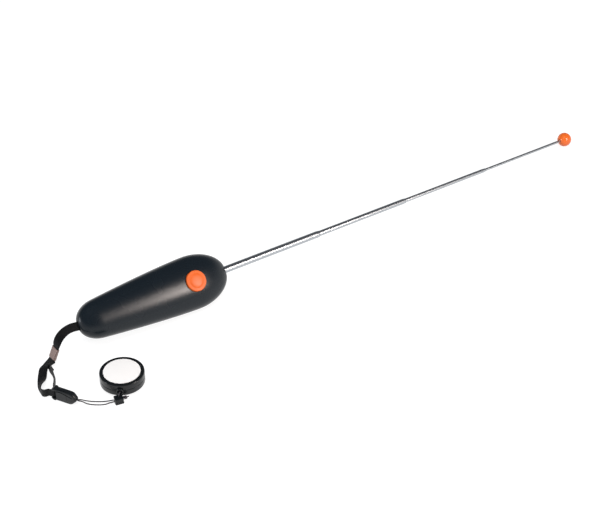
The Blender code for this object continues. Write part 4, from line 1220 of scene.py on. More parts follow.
@dataclass
class ClickButton:
    """The round button: a raised dome in a flat ring, on a stem and a flange."""

    radius: float = 0.0108
    top: float = 0.0216
    rim_drop: float = 0.0013
    wall: float = 0.0015
    flange: float = 0.0017
    flange_top: float = 0.0139
    stem_radius: float = 0.0025
    stem_end: float = 0.0103
    # The dome, the ring and the rim: share of the radius, drop from the top, and round
    face: tuple[Corner, ...] = (
        (0.0, 0.0),
        (0.22, 0.00003),
        (0.44, 0.0002),
        (0.60, 0.00045, 0.0010),
        (0.72, 0.0012, 0.0010),
        (0.90, 0.0014),
        (1.0, 0.00165, 0.0009),
    )

    def build(self) -> None:
        """Builds the button."""
        r, top = self.radius, self.top
        under = top - self.rim_drop - self.wall
        corners = [(r * share, top - drop, *reach) for share, drop, *reach in self.face]
        corners += [
            (r, self.flange_top, CRISP),
            (r + self.flange, self.flange_top, CRISP),
            (r + self.flange, self.flange_top - self.wall, CRISP),
            (r - self.wall, self.flange_top - self.wall, CRISP),
            (r - self.wall, under, SOFT),
            (self.stem_radius, under, SOFT),
            (self.stem_radius, self.stem_end + SOFT, 0.0004),
            (self.stem_radius * 0.6, self.stem_end + 0.00012),
            (0, self.stem_end),
        ]
        button = lathe("button_cap", rounded(corners), BUTTON_SIDES, on_stick(-BUTTON_BACK))
        dress(button, Body.BUTTON, BUTTON_ABS, "click_button")


@dataclass
class TelescopeRod:
    """The chrome tubes that slide in each other, the tip rod and the ball."""

    diameters: tuple[float, ...] = (0.0088, 0.0074, 0.0060, 0.0046, 0.0032)
    mouths: tuple[float, ...] = (-0.0043, 0.1235, 0.2435, 0.3635, 0.4895)
    sleeve_overlap: float = 0.0128
    base_end: float = -0.1391
    tube_wall: float = 0.0003
    neck: float = 0.0025
    neck_taper: float = 0.0008
    neck_gap: float = 0.00015
    ball_diameter: float = 0.0166
    ball_centre: float = 0.4918
    ball_bore: float = 0.0063
    bore_lip: float = 0.0002
    mould_line: Pair = (0.00006, 0.03)  # depth in metres and half width in radians
    ball_steps: int = 48

    def tube(self, index: int) -> Object:
        """Makes one tube, whose neck is rolled in round the next one.

        Args:
            index: 0 for the base tube and then outwards.

        Returns:
            The new object.
        """
        outer = self.diameters[index] / 2
        bore = outer - self.tube_wall
        neck_bore = self.diameters[index + 1] / 2 + self.neck_gap
        neck_outer = neck_bore + self.tube_wall
        mouth = self.mouths[index]
        inner_end = self.mouths[index - 1] - self.sleeve_overlap if index else self.base_end
        neck = mouth - self.neck
        lip = self.tube_wall * 0.45
        corners = [
            (neck_outer, mouth, lip),
            (neck_outer, neck + self.neck_taper, 0.0004),
            (outer, neck, SOFT),
            (outer, inner_end, lip),
            (bore, inner_end, lip),
            (bore, neck - 0.0001, FINE),
            (neck_bore, neck, FINE),
            (neck_bore, mouth, lip),
        ]
        name = f"section_{index}_skin" if index else "base_tube_skin"
        return lathe(name, rounded(corners, 4, True), TUBE_SIDES, STICK @ ALONG_X, True)

    def tip(self) -> Object:
        """Makes the solid tip rod.

        Returns:
            The new object.
        """
        radius = self.diameters[-1] / 2
        start, end = self.mouths[-2] - self.sleeve_overlap, self.mouths[-1]
        corners = [(0, end), (radius, end, 0.0003), (radius, start, 0.0003), (0, start)]
        return lathe("tip_rod_skin", rounded(corners), TUBE_SIDES, STICK @ ALONG_X)

    def ball(self) -> Object:
        """Makes the ball, with its bore for the rod and a faint mould line round its middle.

        Returns:
            The new object.
        """
        radius = self.ball_diameter / 2
        bore = self.diameters[-1] / 2 + GAP
        mouth_angle = math.asin((bore + self.bore_lip) / radius)
        depth, spread = self.mould_line
        profile = []
        for step in range(self.ball_steps + 1):
            angle = (math.pi - mouth_angle) * step / self.ball_steps
            reach = radius - depth * math.exp(-(((angle - math.pi / 2) / spread) ** 2))
            profile.append((reach * math.sin(angle), self.ball_centre + reach * math.cos(angle)))
        bottom = self.ball_centre - radius + self.ball_bore
        lip = self.ball_centre - math.sqrt(radius**2 - bore**2)
        profile += [(bore, lip + self.bore_lip), (bore, bottom), (0, bottom)]
        return lathe("ball_skin", profile, BUTTON_SIDES, STICK @ ALONG_X)

    def build(self) -> None:
        """Builds the rod and dresses the sleeves."""
        dress(self.tube(0), Body.HANDLE, CHROME, "base_tube")
        for index, body in ((1, Body.SECTION_1), (2, Body.SECTION_2), (3, Body.SECTION_3)):
            dress(self.tube(index), body, CHROME, f"section_{index}_tube")
        dress(self.tip(), Body.SECTION_4, CHROME, "tip_rod")
        dress(self.ball(), Body.SECTION_4, BALL_ABS, "target_ball")
        refinish(BRONZE, *(f"glide_sleeve_{index}" for index in range(1, len(self.mouths))))


# Strap, buckle, cords and reel


# Routes as the part's source has them: both runs together, then each of them below the crimp
DOUBLED: tuple[Spot, ...] = (
    ((-0.0136, 0.0705, 0.0289), (-0.03, -0.69, -0.72)),
    ((-0.0185, 0.0713, 0.0280), (-0.05, -0.74, -0.67)),
    ((-0.0232, 0.0710, 0.0266), (-0.07, -0.80, -0.59)),
    ((-0.0278, 0.0694, 0.0253), (0.05, -0.90, -0.43)),
    ((-0.0315, 0.0673, 0.0236), (0.22, -0.95, -0.20)),
    ((-0.0341, 0.0656, 0.0211), (0.12, -0.98, -0.08)),
)
OUTER_RUN: tuple[Spot, ...] = (
    ((-0.0453, 0.0650, 0.0041), (-0.15, -0.98, 0.09)),
    ((-0.0491, 0.0641, 0.0028), (-0.08, -0.97, 0.25)),
    ((-0.0529, 0.0616, 0.0018), (0.56, -0.82, 0.12)),
    ((-0.0562, 0.0571, 0.0017), (0.63, -0.76, 0.14)),
    ((-0.0599, 0.0511, 0.0019), (0.77, -0.62, 0.10)),
    ((-0.0636, 0.0451, 0.0026), (0.76, -0.52, 0.38)),
    ((-0.0672, 0.0395, 0.0039), (0.60, -0.33, 0.73)),
    ((-0.0701, 0.0343, 0.0049), (0.25, -0.10, 0.96)),
    ((-0.0718, 0.0300, 0.0053), (0.00, 0.00, 1.00)),
    ((-0.0722, 0.0264, 0.0058), (0.00, 0.00, 1.00)),
    ((-0.0706, 0.0235, 0.0066), (0.00, 0.00, 1.00)),
    ((-0.0674, 0.0221, 0.0070), (0.00, 0.00, 1.00)),
)
INNER_RUN: tuple[Spot, ...] = (
    ((-0.0430, 0.0635, 0.0040), (0.05, -0.99, 0.10)),
    ((-0.0452, 0.0603, 0.0035), (0.23, -0.87, 0.45)),
    ((-0.0467, 0.0570, 0.0050), (-0.46, -0.36, 0.81)),
    ((-0.0480, 0.0539, 0.0058), (-0.43, -0.43, 0.79)),
    ((-0.0508, 0.0482, 0.0056), (-0.50, 0.00, 0.87)),
    ((-0.0522, 0.0432, 0.0058), (-0.45, 0.00, 0.89)),
    ((-0.0536, 0.0383, 0.0062), (-0.25, 0.00, 0.97)),
    ((-0.0554, 0.0336, 0.0067), (-0.10, 0.00, 0.99)),
    ((-0.0579, 0.0293, 0.0070), (0.00, 0.00, 1.00)),
    ((-0.0602, 0.0260, 0.0070), (0.00, 0.00, 1.00)),
    ((-0.0617, 0.0232, 0.0070), (0.00, 0.00, 1.00)),
)


@dataclass
class WristStrap:
    """The doubled woven strap and the crimp round it."""

    width: float = RIBBON_WIDTH
    thickness: float = 0.0007
    looseness: float = 1.3  # how much further apart the two runs lie where nothing holds them
    lead: Pair = (0.0032, 0.62)  # behind the pin: how far, and the share of its radius aside
    slot_lead: float = 0.0020
    crimp_shares: tuple[float, ...] = (-0.02, 0.5, 1.02)
    wrap_steps: int = 3
    route_steps: int = 12
    edge: float = 0.45  # of the thickness
    strip: float = 0.0011  # width of one face across the ribbon
    sharp: float = 50.0
    crimp_top: Place = (-0.0360, 0.0648, 0.0179)
    crimp_bottom: Place = (-0.0410, 0.0648, 0.0072)
    crimp_width: Place = (-0.03, -0.99, -0.08)
    crimp_length: float = 0.0122
    crimp_wall: float = 0.0004
    crimp_corner: float = 0.0009
    crimp_band: float = 0.0001  # depth of each pressed band

    def wrap(self, centre: Vector, axis: Vector, forward: Vector, radius: float, side: int) -> list[Vector]:
        """Gives a quarter turn of ribbon round a bar.

        Args:
            centre: The bar's centre.
            axis: The bar's direction.
            forward: Where the strap leaves it.
            radius: The ribbon's radius on the bar.
            side: 1 or -1, for the side that the run leaves on.

        Returns:
            The points, from the bar's far side.
        """
        across = forward.cross(axis)
        start = math.asin(min(1.0, (self.thickness / 2 + GAP / 2) / radius))
        found = []
        for step in range(self.wrap_steps + 1):
            angle = start + (math.pi / 2 - start) * step / self.wrap_steps
            behind = centre - forward * radius * math.cos(angle)
            found.append(behind + across * side * radius * math.sin(angle))
        return found

    def crimp_line(self) -> tuple[Vector, Vector, Vector]:
        """Gives the crimp's top and bottom on the strap's centreline, and its width direction.

        Returns:
            The top, the bottom and the direction.
        """
        top, bottom = Vector(self.crimp_top), Vector(self.crimp_bottom)
        along = (bottom - top).normalized()
        middle = (top + bottom) / 2
        half = along * self.crimp_length / 2
        width = Vector(self.crimp_width)
        width = (width - along * width.dot(along)).normalized()
        return middle - half, middle + half, width

    def route(self, side: int) -> list[tuple[Vector, Vector]]:
        """Gives one run as (place, width direction), from the handle's pin to the buckle's bar.

        Args:
            side: 1 for the outer run and -1 for the inner one.

        Returns:
            The route's own points.
        """
        stick = STICK.to_3x3()
        lateral, backward = -(stick @ Vector((0, 1, 0))), -(stick @ Vector((1, 0, 0)))
        radius = PIN_RADIUS + GAP + self.thickness / 2
        pin = STICK @ Vector((PIN_BACK - HANDLE_LENGTH, 0, 0))
        route = [(place, lateral) for place in self.wrap(pin, lateral, backward, radius, side)]
        above = backward.cross(lateral) * side
        pair = (self.thickness + GAP) / 2
        tail = STICK @ Vector((-HANDLE_LENGTH, 0, 0))
        behind, aside = self.lead
        route.append((pin + backward * behind + above * (radius * aside), lateral))
        route.append((tail - backward * self.slot_lead + above * pair, lateral))
        centres = [(tail, lateral)]
        centres += [(Vector(place), Vector(width).normalized()) for place, width in DOUBLED]
        top, bottom, crimp_width = self.crimp_line()
        centres += [(top.lerp(bottom, share), crimp_width) for share in self.crimp_shares]
        for index, (place, width) in enumerate(centres):
            before, after = neighbours(centres, index)
            normal = (after[0] - before[0]).normalized().cross(width).normalized()
            apart = pair * self.looseness if 0 < index <= len(DOUBLED) else pair
            route.append((place + normal * side * apart, width))
        free = OUTER_RUN if side == 1 else INNER_RUN
        route += [(Vector(place), Vector(width).normalized()) for place, width in free]
        bar_centre = BUCKLE @ Vector((BAR_X, BUCKLE_HEIGHT / 2, 0))
        upright = Vector((0, 0, 1))
        forward = (BUCKLE.to_3x3() @ Vector((1, 0, 0))).normalized()
        on_bar = BAR_RADIUS + GAP + self.thickness / 2
        ends = self.wrap(bar_centre, upright, -forward, on_bar, -side)
        return route + [(place, upright) for place in reversed(ends)]

    def run(self, name: str, side: int) -> tuple[Object, list[Vector]]:
        """Makes one run of the strap, with soft rounded edges.

        Args:
            name: The piece's name.
            side: 1 for the outer run and -1 for the inner one.

        Returns:
            The new object and its centreline.
        """
        route = self.route(side)
        places = smooth_route([place for place, _ in route], self.route_steps)
        widths = smooth_route([width for _, width in route], self.route_steps)
        section = rounded_section(self.width, self.thickness, self.thickness * self.edge, 3)
        flat = []
        for a, b in zip(section, section[1:] + section[:1]):
            pieces = max(1, round((b - a).length / self.strip))
            flat += [a.lerp(b, step / pieces) for step in range(pieces)]
        rings = []
        for index, (place, width) in enumerate(zip(places, widths)):
            before, after = neighbours(places, index)
            along = (after - before).normalized()
            across = (width - along * width.dot(along)).normalized()
            up = along.cross(across).normalized()
            rings.append([place + across * point.x + up * point.y for point in flat])
        return loft(name, rings, sharp=self.sharp), places

    def crimp(self) -> Object:
        """Makes the crimp: a folded strip with two pressed bands and soft ends.

        Returns:
            The new object.
        """
        top, bottom, width = self.crimp_line()
        along = (bottom - top).normalized()
        frame_axes = Matrix((width, along.cross(width), along)).transposed().to_4x4()
        place = Matrix.Translation((top + bottom) / 2) @ frame_axes
        room_x, room_y = self.width / 2 + GAP, self.thickness + 1.5 * GAP
        half, wall = self.crimp_length / 2, self.crimp_wall
        # Down from the outer face, as shares of half the length, with the round at each point
        dents = ((0.52, 0, SOFT), (0.42, 1, 0.0004), (0.30, 1, 0.0004), (0.20, 0, SOFT))
        line = [(wall * 0.5, -half), (0.0, -half + 0.0004, 0.0003)]
        line += [(self.crimp_band * deep, -half * share, reach) for share, deep, reach in dents]
        line += [(self.crimp_band * deep, half * share, reach) for share, deep, reach in reversed(dents)]
        line += [(0.0, half - 0.0004, 0.0003), (wall * 0.5, half)]
        rings = []
        for point in [*rounded(line, 3), Vector((wall, half)), Vector((wall, -half))]:
            room = 2 * (wall - point.x)
            outline = rounded_section(2 * room_x + room, 2 * room_y + room, self.crimp_corner, 5)
            rings.append(lifted(outline, point.y, place))
        return loft("crimp_sleeve", rings, closed=True)

    def build(self) -> tuple[list[Object], list[list[Vector]]]:
        """Builds the strap and its crimp.

        Returns:
            The outer run, the inner run and the crimp, and the two runs' centrelines.
        """
        crimp = dress(self.crimp(), Body.HANDLE, CRIMP_METAL, "strap_crimp")
        runs, lines = [], []
        for name, side in (("outer", 1), ("inner", -1)):
            made, line = self.run(f"strap_{name}_weave", side)
            runs.append(dress(made, Body.HANDLE, WEBBING, f"strap_{name}_run"))
            lines.append(line)
        return [*runs, crimp], lines

    def declare(self, pieces: Sequence[Object], lines: Sequence[Sequence[Vector]], socket: Object) -> None:
        """Works out each run's length, its centreline's points and the pieces listed with it, and keeps none
        of them.

        Args:
            pieces: The outer run, the inner run and the crimp.
            lines: The two runs' centrelines.
            socket: The buckle's socket.
        """
        for made, line, extra in zip(pieces[:2], lines, ([pieces[2], socket], [socket])):
            route_length(line)
            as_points(line)
            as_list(extra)


@dataclass
class Buckle:
    """The small side-release buckle: a socket on the strap and a plug on the thin cords."""

    height: float = BUCKLE_HEIGHT
    thickness: float = 0.007
    socket_start: float = -0.0135
    socket_end: float = 0.004
    head_end: float = 0.0145
    corner: float = 0.0028
    shoulder: float = 0.45  # where the head starts to narrow, as a share of its length
    nose_half: float = 0.09  # half the nose's height, as a share of the buckle's
    back_shift: float = 0.6  # how much further the back narrows later, as a share of the corner
    rounds: tuple[float, ...] = (0.0014, 0.0014, 0.0026, 0.0012, 0.0012, 0.0034, 0.0014, 0.0014)
    face: float = 0.0015
    edge: float = 0.0017
    collar: float = 0.0052
    collar_step: float = 0.0004
    collar_rise: float = 0.00012
    collar_slant: float = 0.0006
    collar_edge: float = 0.0008
    collar_rounds: tuple[float, ...] = (0.0012, 0.0012, 0.0003, 0.0003, 0.0012, 0.0012)
    fork_start: float = -0.006
    fork_arm: float = 0.0032
    fork_guide: float = 0.0030
    fork_root_slit: float = 0.0022
    fork_fit: float = 0.999  # keeps the fork's faces off the web's when they are joined
    window_end: float = -0.0074
    groove_width: float = 0.0010
    groove_depth: float = 0.0011
    groove_line: tuple[Pair, ...] = (
        (-0.0072, 0.0112), (-0.004, 0.0118), (0.0, 0.0116),
        (0.004, 0.0107), (0.0075, 0.0097), (0.0105, 0.0088),
    )
    rib_count: int = 4
    rib_start: Pair = (0.0012, 0.0042)  # along from the socket's end, and up
    rib_pitch: float = 0.00125
    rib_turn: float = -32.0
    rib_size: tuple[float, float, float] = (0.0007, 0.0034, 0.0003)  # width, length and corner
    # How far a rib is drawn in at each height
    rib_levels: tuple[Pair, ...] = ((0.0, -0.0002), (0.0, 0.0001), (0.00012, 0.00022), (0.00028, 0.00026))

    def box(self, name: str, x: Pair, y: Pair, z: float) -> Object:
        """Makes a plain box in the buckle's place, to cut or join with.

        Args:
            name: Its name.
            x: Where it starts and ends along the buckle.
            y: Where it starts and ends upwards.
            z: Half its thickness.

        Returns:
            The new object.
        """
        corners = ((x[0], y[0]), (x[1], y[0]), (x[1], y[1]), (x[0], y[1]))
        outline = [Vector(corner) for corner in corners]
        return loft(name, [lifted(outline, height, BUCKLE) for height in (-z, z)])

    def groove(self, side: int) -> Object:
        """Makes the cutter of the groove that runs below the upper edge and drops towards the nose.

        Args:
            side: 1 for the near face and -1 for the far one.

        Returns:
            The cutter.
        """
        face = side * (self.thickness / 2 - self.collar_step)
        route = smooth_route([Vector((x, y, face)) for x, y in self.groove_line], 6)
        rings = []
        for index, place in enumerate(route):
            before, after = neighbours(route, index)
            run = (after - before).normalized()
            across = Vector((-run.y, run.x, 0)) * self.groove_width / 2
            deep = Vector((0, 0, -side * self.groove_depth))
            proud = Vector((0, 0, side * SWEEP))
            ring = [place - across * 2 + proud, place - across, place - across * 0.5 + deep]
            ring += [place + across * 0.5 + deep, place + across, place + across * 2 + proud]
            rings.append([BUCKLE @ point for point in ring])
        return loft("groove", rings)

    def whole(self, name: str) -> Object:
        """Makes the closed buckle's outer form: a pebble with a collar at the strap's end and grooved faces.

        Args:
            name: The piece's name.

        Returns:
            The new object.
        """
        start, high, cut = self.socket_start, self.height, self.corner
        head = self.socket_end + GAP
        shoulder = head + (self.head_end - head) * self.shoulder
        drop = high * self.nose_half
        pebble = (
            (start, cut),
            (start + cut, 0),
            (shoulder, 0),
            (self.head_end, high * 0.5 - drop),
            (self.head_end, high * 0.5 + drop),
            (shoulder + cut * self.back_shift, high),
            (start + cut, high),
            (start, high - cut),
        )
        half = self.thickness / 2
        corners = drawn_in([(*spot, reach) for spot, reach in zip(pebble, self.rounds)], self.collar_rise)
        made = pillow(name, corners, half - self.collar_step, self.edge, BUCKLE)
        made = combine(made, [self.groove(1), self.groove(-1)])
        end = start + self.collar
        band = (*pebble[:2], (end, 0), (end + self.collar_slant, high), *pebble[-2:])
        corners = [(*spot, reach) for spot, reach in zip(band, self.collar_rounds)]
        return combine(made, [pillow("collar", corners, half, self.collar_edge, BUCKLE)], "UNION")

    def socket(self) -> Object:
        """Makes the socket, with the strap's window and bar and the room for the plug's fork.

        Returns:
            The new object.
        """
        start, end, high = self.socket_start, self.socket_end, self.height
        past, upright = self.thickness / 2 + SWEEP, (-SWEEP, self.height + SWEEP)
        arm = (high - RIBBON_WIDTH) / 2 - GAP
        tools = [
            self.box("nose_side", (end, self.head_end + SWEEP), upright, past),
            self.box("fork_room", (self.fork_start, end + SWEEP), upright, self.thickness / 2 - self.face),
            self.box("window", (start - SWEEP, self.window_end), (arm, high - arm), past),
        ]
        made = combine(self.whole("buckle_socket_skin"), tools)
        place = BUCKLE @ Matrix.Translation((BAR_X, 0, 0)) @ ALONG_Y
        strap_bar = bar("strap_bar", BAR_RADIUS, arm / 2, high - arm / 2, PIN_SIDES, place)
        return combine(made, [strap_bar], "UNION")

    def ribs(self) -> list[Matrix]:
        """Gives the places of the slanting grip ribs on both faces of the plug's head.

        Returns:
            One place for each rib.
        """
        found = []
        turn = Matrix.Rotation(math.radians(self.rib_turn), 4, "Z")
        for side in (1, -1):
            for index in range(self.rib_count):
                x = self.socket_end + self.rib_start[0] + index * self.rib_pitch
                z = side * (self.thickness / 2 - self.collar_step)
                found.append(BUCKLE @ Matrix.Translation((x, self.rib_start[1], z)) @ turn)
        return found

    def plug(self, shop: Workshop) -> Object:
        """Makes the plug: a head that narrows to the cords, a fork with a guide and two arms, and ribs.

        Args:
            shop: The shared node trees.

        Returns:
            The new object.
        """
        high, half = self.height, self.thickness / 2
        start = self.socket_end + GAP
        behind = (self.socket_start - SWEEP, start)
        strap_side = self.box("strap_side", behind, (-SWEEP, high + SWEEP), half + SWEEP)
        head = combine(self.whole("buckle_plug_skin"), [strap_side])
        slit, room, middle = start - self.fork_root_slit, half - self.face - GAP, high / 2
        reach, thin = (self.fork_start + GAP, slit + SWEEP), room * self.fork_fit
        arm, guide = self.fork_arm, self.fork_guide / 2
        fork = [
            self.box("web", (slit, start + SWEEP), (0, high), room),
            self.box("lower_arm", reach, (0, arm), thin),
            self.box("upper_arm", reach, (high - arm, high), thin),
            self.box("guide", reach, (middle - guide, middle + guide), thin),
        ]
        head = combine(head, fork, "UNION")
        wide, long, corner = self.rib_size
        outline = rounded_section(wide, long, corner, 3)
        rings = []
        for inset, z in self.rib_levels:
            rings.append(lifted(outline, z, Matrix(), 1 - inset / (wide / 2), 1 - inset / (long / 2)))
        ribs = shop.put_at("grip_ribs", loft("rib", rings), self.ribs(), ACETAL)
        return joined("buckle_plug_skin", [head, ribs])

    def build(self, shop: Workshop) -> tuple[Object, Object]:
        """Builds the socket and the plug.

        Args:
            shop: The shared node trees.

        Returns:
            The socket and the plug.
        """
        socket = dress(self.socket(), Body.HANDLE, ACETAL, "buckle_socket")
        plug = dress(self.plug(shop), Body.REEL, ACETAL, "buckle_plug")
        return socket, plug


# The cords' routes between the buckle and the block, as the part's source has them
UPPER_CORD: tuple[Place, ...] = (
    (-0.0468, -0.0043, 0.0058),
    (-0.0431, -0.0050, 0.0033),
    (-0.0390, -0.0067, 0.0016),
    (-0.0350, -0.0092, 0.0010),
    (-0.0310, -0.0121, 0.0009),
    (-0.0271, -0.0149, 0.0013),
    (-0.0240, -0.0172, 0.0021),
)
LOWER_CORD: tuple[Place, ...] = (
    (-0.0467, -0.0054, 0.0042),
    (-0.0438, -0.0076, 0.0020),
    (-0.0400, -0.0107, 0.0009),
    (-0.0364, -0.0137, 0.0008),
    (-0.0327, -0.0163, 0.0008),
    (-0.0290, -0.0181, 0.0009),
    (-0.0255, -0.0192, 0.0015),
)


@dataclass
class CordLoop:
    """The two thin cords from the buckle to the block, the block and the knot behind it."""

    diameter: float = CORD_DIAMETER
    nose: float = 0.0148  # of the buckle, where both cords start
    upper_end: Pair = (0.0020, 0.0030)  # on the block's face
    lower_end: Pair = (0.0002, 0.0023)
    bead_size: Place = BEAD_SIZE
    bead_round: float = 0.0011
    panel: tuple[float, float, float] = (0.00035, 0.30, 0.36)  # depth, and its edge as shares of the height
    knot_turns: float = 3.0
    knot_steps: int = 72
    knot_fit: float = 0.95  # of the cord's thickness where it is pulled tight
    knot_wound: float = 0.72  # share of the knot's length that the turns take
    knot_radius: float = 0.0018
    knot_length: float = 0.0055
    knot_height: float = 0.004

    def route(self, side: int, middle: Sequence[Place], end: Pair) -> list[Vector]:
        """Gives one cord's own points.

        Args:
            side: 1 for the upper cord and -1 for the lower one.
            middle: Its points between the buckle and the block.
            end: Where it meets the block's face.

        Returns:
            The points, from the buckle to the block.
        """
        nose = BUCKLE @ Vector((self.nose, BUCKLE_HEIGHT / 2, 0))
        start = nose + Vector((0, 0, self.diameter / 2 + GAP / 2)) * side
        ahead = BUCKLE.to_3x3() @ Vector((self.diameter, 0, 0))
        last = BEAD @ Vector((-self.bead_size[0] / 2 - GAP, *end))
        return [start, start + ahead, *(Vector(point) for point in middle), last]

    def bead(self) -> Object:
        """Makes the block: a squared moulding with soft edges and a shallow panel on each side.

        Returns:
            The new object.
        """
        x, y, z = self.bead_size
        edge, (depth, low, high) = self.bead_round, self.panel
        outline = rounded_section(x, y, edge)
        line = [(edge, 0.0), (0.0, 0.0, edge), (0.0, z * low), (depth, z * high, CRISP)]
        line += [(depth, z * (1 - high), CRISP), (0.0, z * (1 - low)), (0.0, z, edge), (edge, z)]
        rings = []
        for point in rounded(line, 4):
            rings.append(lifted(outline, point.y, BEAD, 1 - 2 * point.x / x, 1 - 2 * point.x / y))
        return loft("cord_block_skin", rings)

    def knot(self, shop: Workshop) -> Object:
        """Makes the knot: turns of cord round the cord's own end, and the end that sticks out.

        Args:
            shop: The shared node trees.

        Returns:
            The new object.
        """
        start = self.bead_size[0] / 2 + GAP
        thick = self.diameter / 2 * self.knot_fit
        radius = self.knot_radius - thick
        coil = []
        for step in range(self.knot_steps + 1):
            angle = 2 * math.pi * self.knot_turns * step / self.knot_steps
            x = start + thick + step / self.knot_steps * (self.knot_length * self.knot_wound - 2 * thick)
            y, z = radius * math.cos(angle), self.knot_height + radius * math.sin(angle)
            coil.append(BEAD @ Vector((x, y, z)))
        ends = (start + 0.0002, start + self.knot_length * 0.55, start + self.knot_length)
        core = [BEAD @ Vector((x, 0, self.knot_height)) for x in ends]
        wound = shop.lay_cord("knot_turns", coil, thick, CORD_NYLON)
        stub = shop.lay_cord("knot_end", smooth_route(core, 6), thick, CORD_NYLON)
        return joined("cord_knot", [wound, stub])

    def build(self, shop: Workshop) -> None:
        """Args:
            shop: The shared node trees.
        """
        block = dress(self.bead(), Body.REEL, ACETAL, "cord_bead")
        knot = dress(self.knot(shop), Body.REEL, CORD_NYLON, "loop_knot")
        cords = (("upper", 1, UPPER_CORD, self.upper_end), ("lower", -1, LOWER_CORD, self.lower_end))
        for half, side, middle, end in cords:
            line = smooth_route(self.route(side, middle, end), CORD_STEPS)
            made = shop.lay_cord(f"loop_{half}_strands", line, self.diameter / 2, CORD_NYLON)
            dress(made, Body.REEL, CORD_NYLON, f"loop_cord_{half}")
            route_length(line)


@dataclass
class Reel:
    """The retractable reel: its case, label, nozzle, wound cord and belt clip."""

    radius: float = 0.0218
    base: float = 0.0026
    thickness: float = 0.0126
    edge: float = 0.0014
    wall: float = 0.0016
    label_radius: float = 0.0180
    label_thickness: float = 0.00045
    label_sunk: float = 0.00005
    lid: float = 0.0014
    post_radius: float = 0.0026
    rivet_radius: float = 0.0015
    spool_base: float = 0.0051
    spool_flange: float = 0.0008
    hub_radius: float = 0.0090
    winding_radius: float = 0.0155
    cord_diameter: float = CORD_DIAMETER
    winding_fit: float = 0.97  # of the cord's thickness, so that its turns don't meet
    layer_pitch: float = 1.75  # cord radii between two layers
    turn_points: int = 40
    cord_landing: Pair = (0.0005, 0.0012)  # on the block's top
    cord_sag: float = 0.0004
    cord_lean: float = 0.35  # how far the sagging point lies towards the nozzle
    nozzle_radius: float = 0.0026
    nozzle_flange: float = 0.0034
    nozzle_reach: float = 0.0015
    nozzle_flare: Corner = (0.86, 0.6, 0.4)  # share of the radius at its mouth, of the reach outside and in
    clip_plate: float = 0.0006
    clip_slot: float = 0.0011
    clip_length: float = 0.034
    clip_width: float = 0.012
    clip_tongue: float = 0.006
    clip_steps: int = 12  # round its bend
    clip_end_step: float = 0.001  # between the sections near its ends
    clip_end: Pair = (0.0035, 0.005)  # how far its end's round reaches, and narrows it
    split_chamfer: Pair = (0.00015, 0.0003)  # in and up, where the two halves meet

    @property
    def top(self) -> float:
        """Gives the height of the case's top."""
        return self.base + self.thickness

    @property
    def split(self) -> float:
        """Gives the height at which the two case halves meet."""
        return (self.base + self.top) / 2

    @property
    def inside(self) -> float:
        """Gives the case's inner radius."""
        return self.radius - self.wall

    def nozzle_place(self) -> Matrix:
        """Gives the nozzle's frame, whose Z axis points out from the reel's centre."""
        return Matrix.Translation((0, 0, self.split)) @ Matrix.Rotation(NOZZLE_TURN, 4, "Z") @ ALONG_X

    def notch(self) -> Object:
        """Makes the cutter of the nozzle's hole in the case's wall."""
        low, high = self.inside - SWEEP, self.radius + SWEEP
        return bar("notch", self.nozzle_radius + GAP, low, high, NOTCH_SIDES, self.nozzle_place())

    def case(self) -> None:
        """Builds the two case halves, whose edges are rounded."""
        r, edge, split = self.radius, self.edge, self.split
        floor = self.base + self.wall
        hole = self.rivet_radius + GAP
        inwards, rise = self.split_chamfer
        back = [
            (r - inwards, split - GAP / 2, FINE),
            (r, split - GAP / 2 - rise, CRISP),
            (r, self.base, edge),
            (hole, self.base, CRISP),
            (hole, floor),
            (self.inside, floor, 0.0006),
            (self.inside, split - GAP / 2),
        ]
        label_floor = self.top - self.label_sunk - self.label_thickness - GAP
        ceiling = label_floor - self.lid
        rim = self.label_radius + GAP
        front = [
            (0, label_floor),
            (rim, label_floor, FINE),
            (rim, self.top, 0.00035),
            (r, self.top, edge),
            (r, split + GAP / 2 + rise, CRISP),
            (r - inwards, split + GAP / 2, FINE),
            (self.inside, split + GAP / 2),
            (self.inside, ceiling, 0.0006),
            (self.post_radius, ceiling, SOFT),
            (self.post_radius, self.spool_base, 0.0003),
            (0, self.spool_base),
        ]
        for half, profile, closed in (("back", back, True), ("front", front, False)):
            shell = lathe(f"reel_{half}_skin", rounded(profile, 6, closed), CASE_SIDES, closed=closed)
            dress(combine(shell, [self.notch()]), Body.REEL, REEL_ABS, f"reel_case_{half}")

    def label(self) -> None:
        """Builds the bare white label, a thin disc with a soft edge."""
        base = self.top - self.label_sunk - self.label_thickness
        high = base + self.label_thickness
        corners = [(0, high), (self.label_radius, high, CRISP), (self.label_radius, base, FINE), (0, base)]
        made = lathe("label_disc", rounded(corners, 4), CASE_SIDES)
        dress(made, Body.REEL, LABEL_VINYL, "reel_label")

    def nozzle(self) -> None:
        """Builds the nozzle, a flanged collar with a flared bore."""
        bore = self.cord_diameter / 2 + GAP
        face, reach = self.radius + GAP, self.nozzle_reach
        corners = [
            (self.nozzle_flange * self.nozzle_flare[0], face + reach, 0.0004),
            (self.nozzle_flange, face + reach * self.nozzle_flare[1], SOFT),
            (self.nozzle_flange, face, CRISP),
            (self.nozzle_radius, face),
            (self.nozzle_radius, self.inside - SWEEP),
            (bore, self.inside - SWEEP),
            (bore, face + reach * self.nozzle_flare[2], SOFT),
            (bore + SOFT, face + reach, 0.0003),
        ]
        made = lathe("nozzle_collar", rounded(corners, 4, True), TUBE_SIDES, self.nozzle_place(), True)
        dress(made, Body.REEL, REEL_ABS, "reel_nozzle")

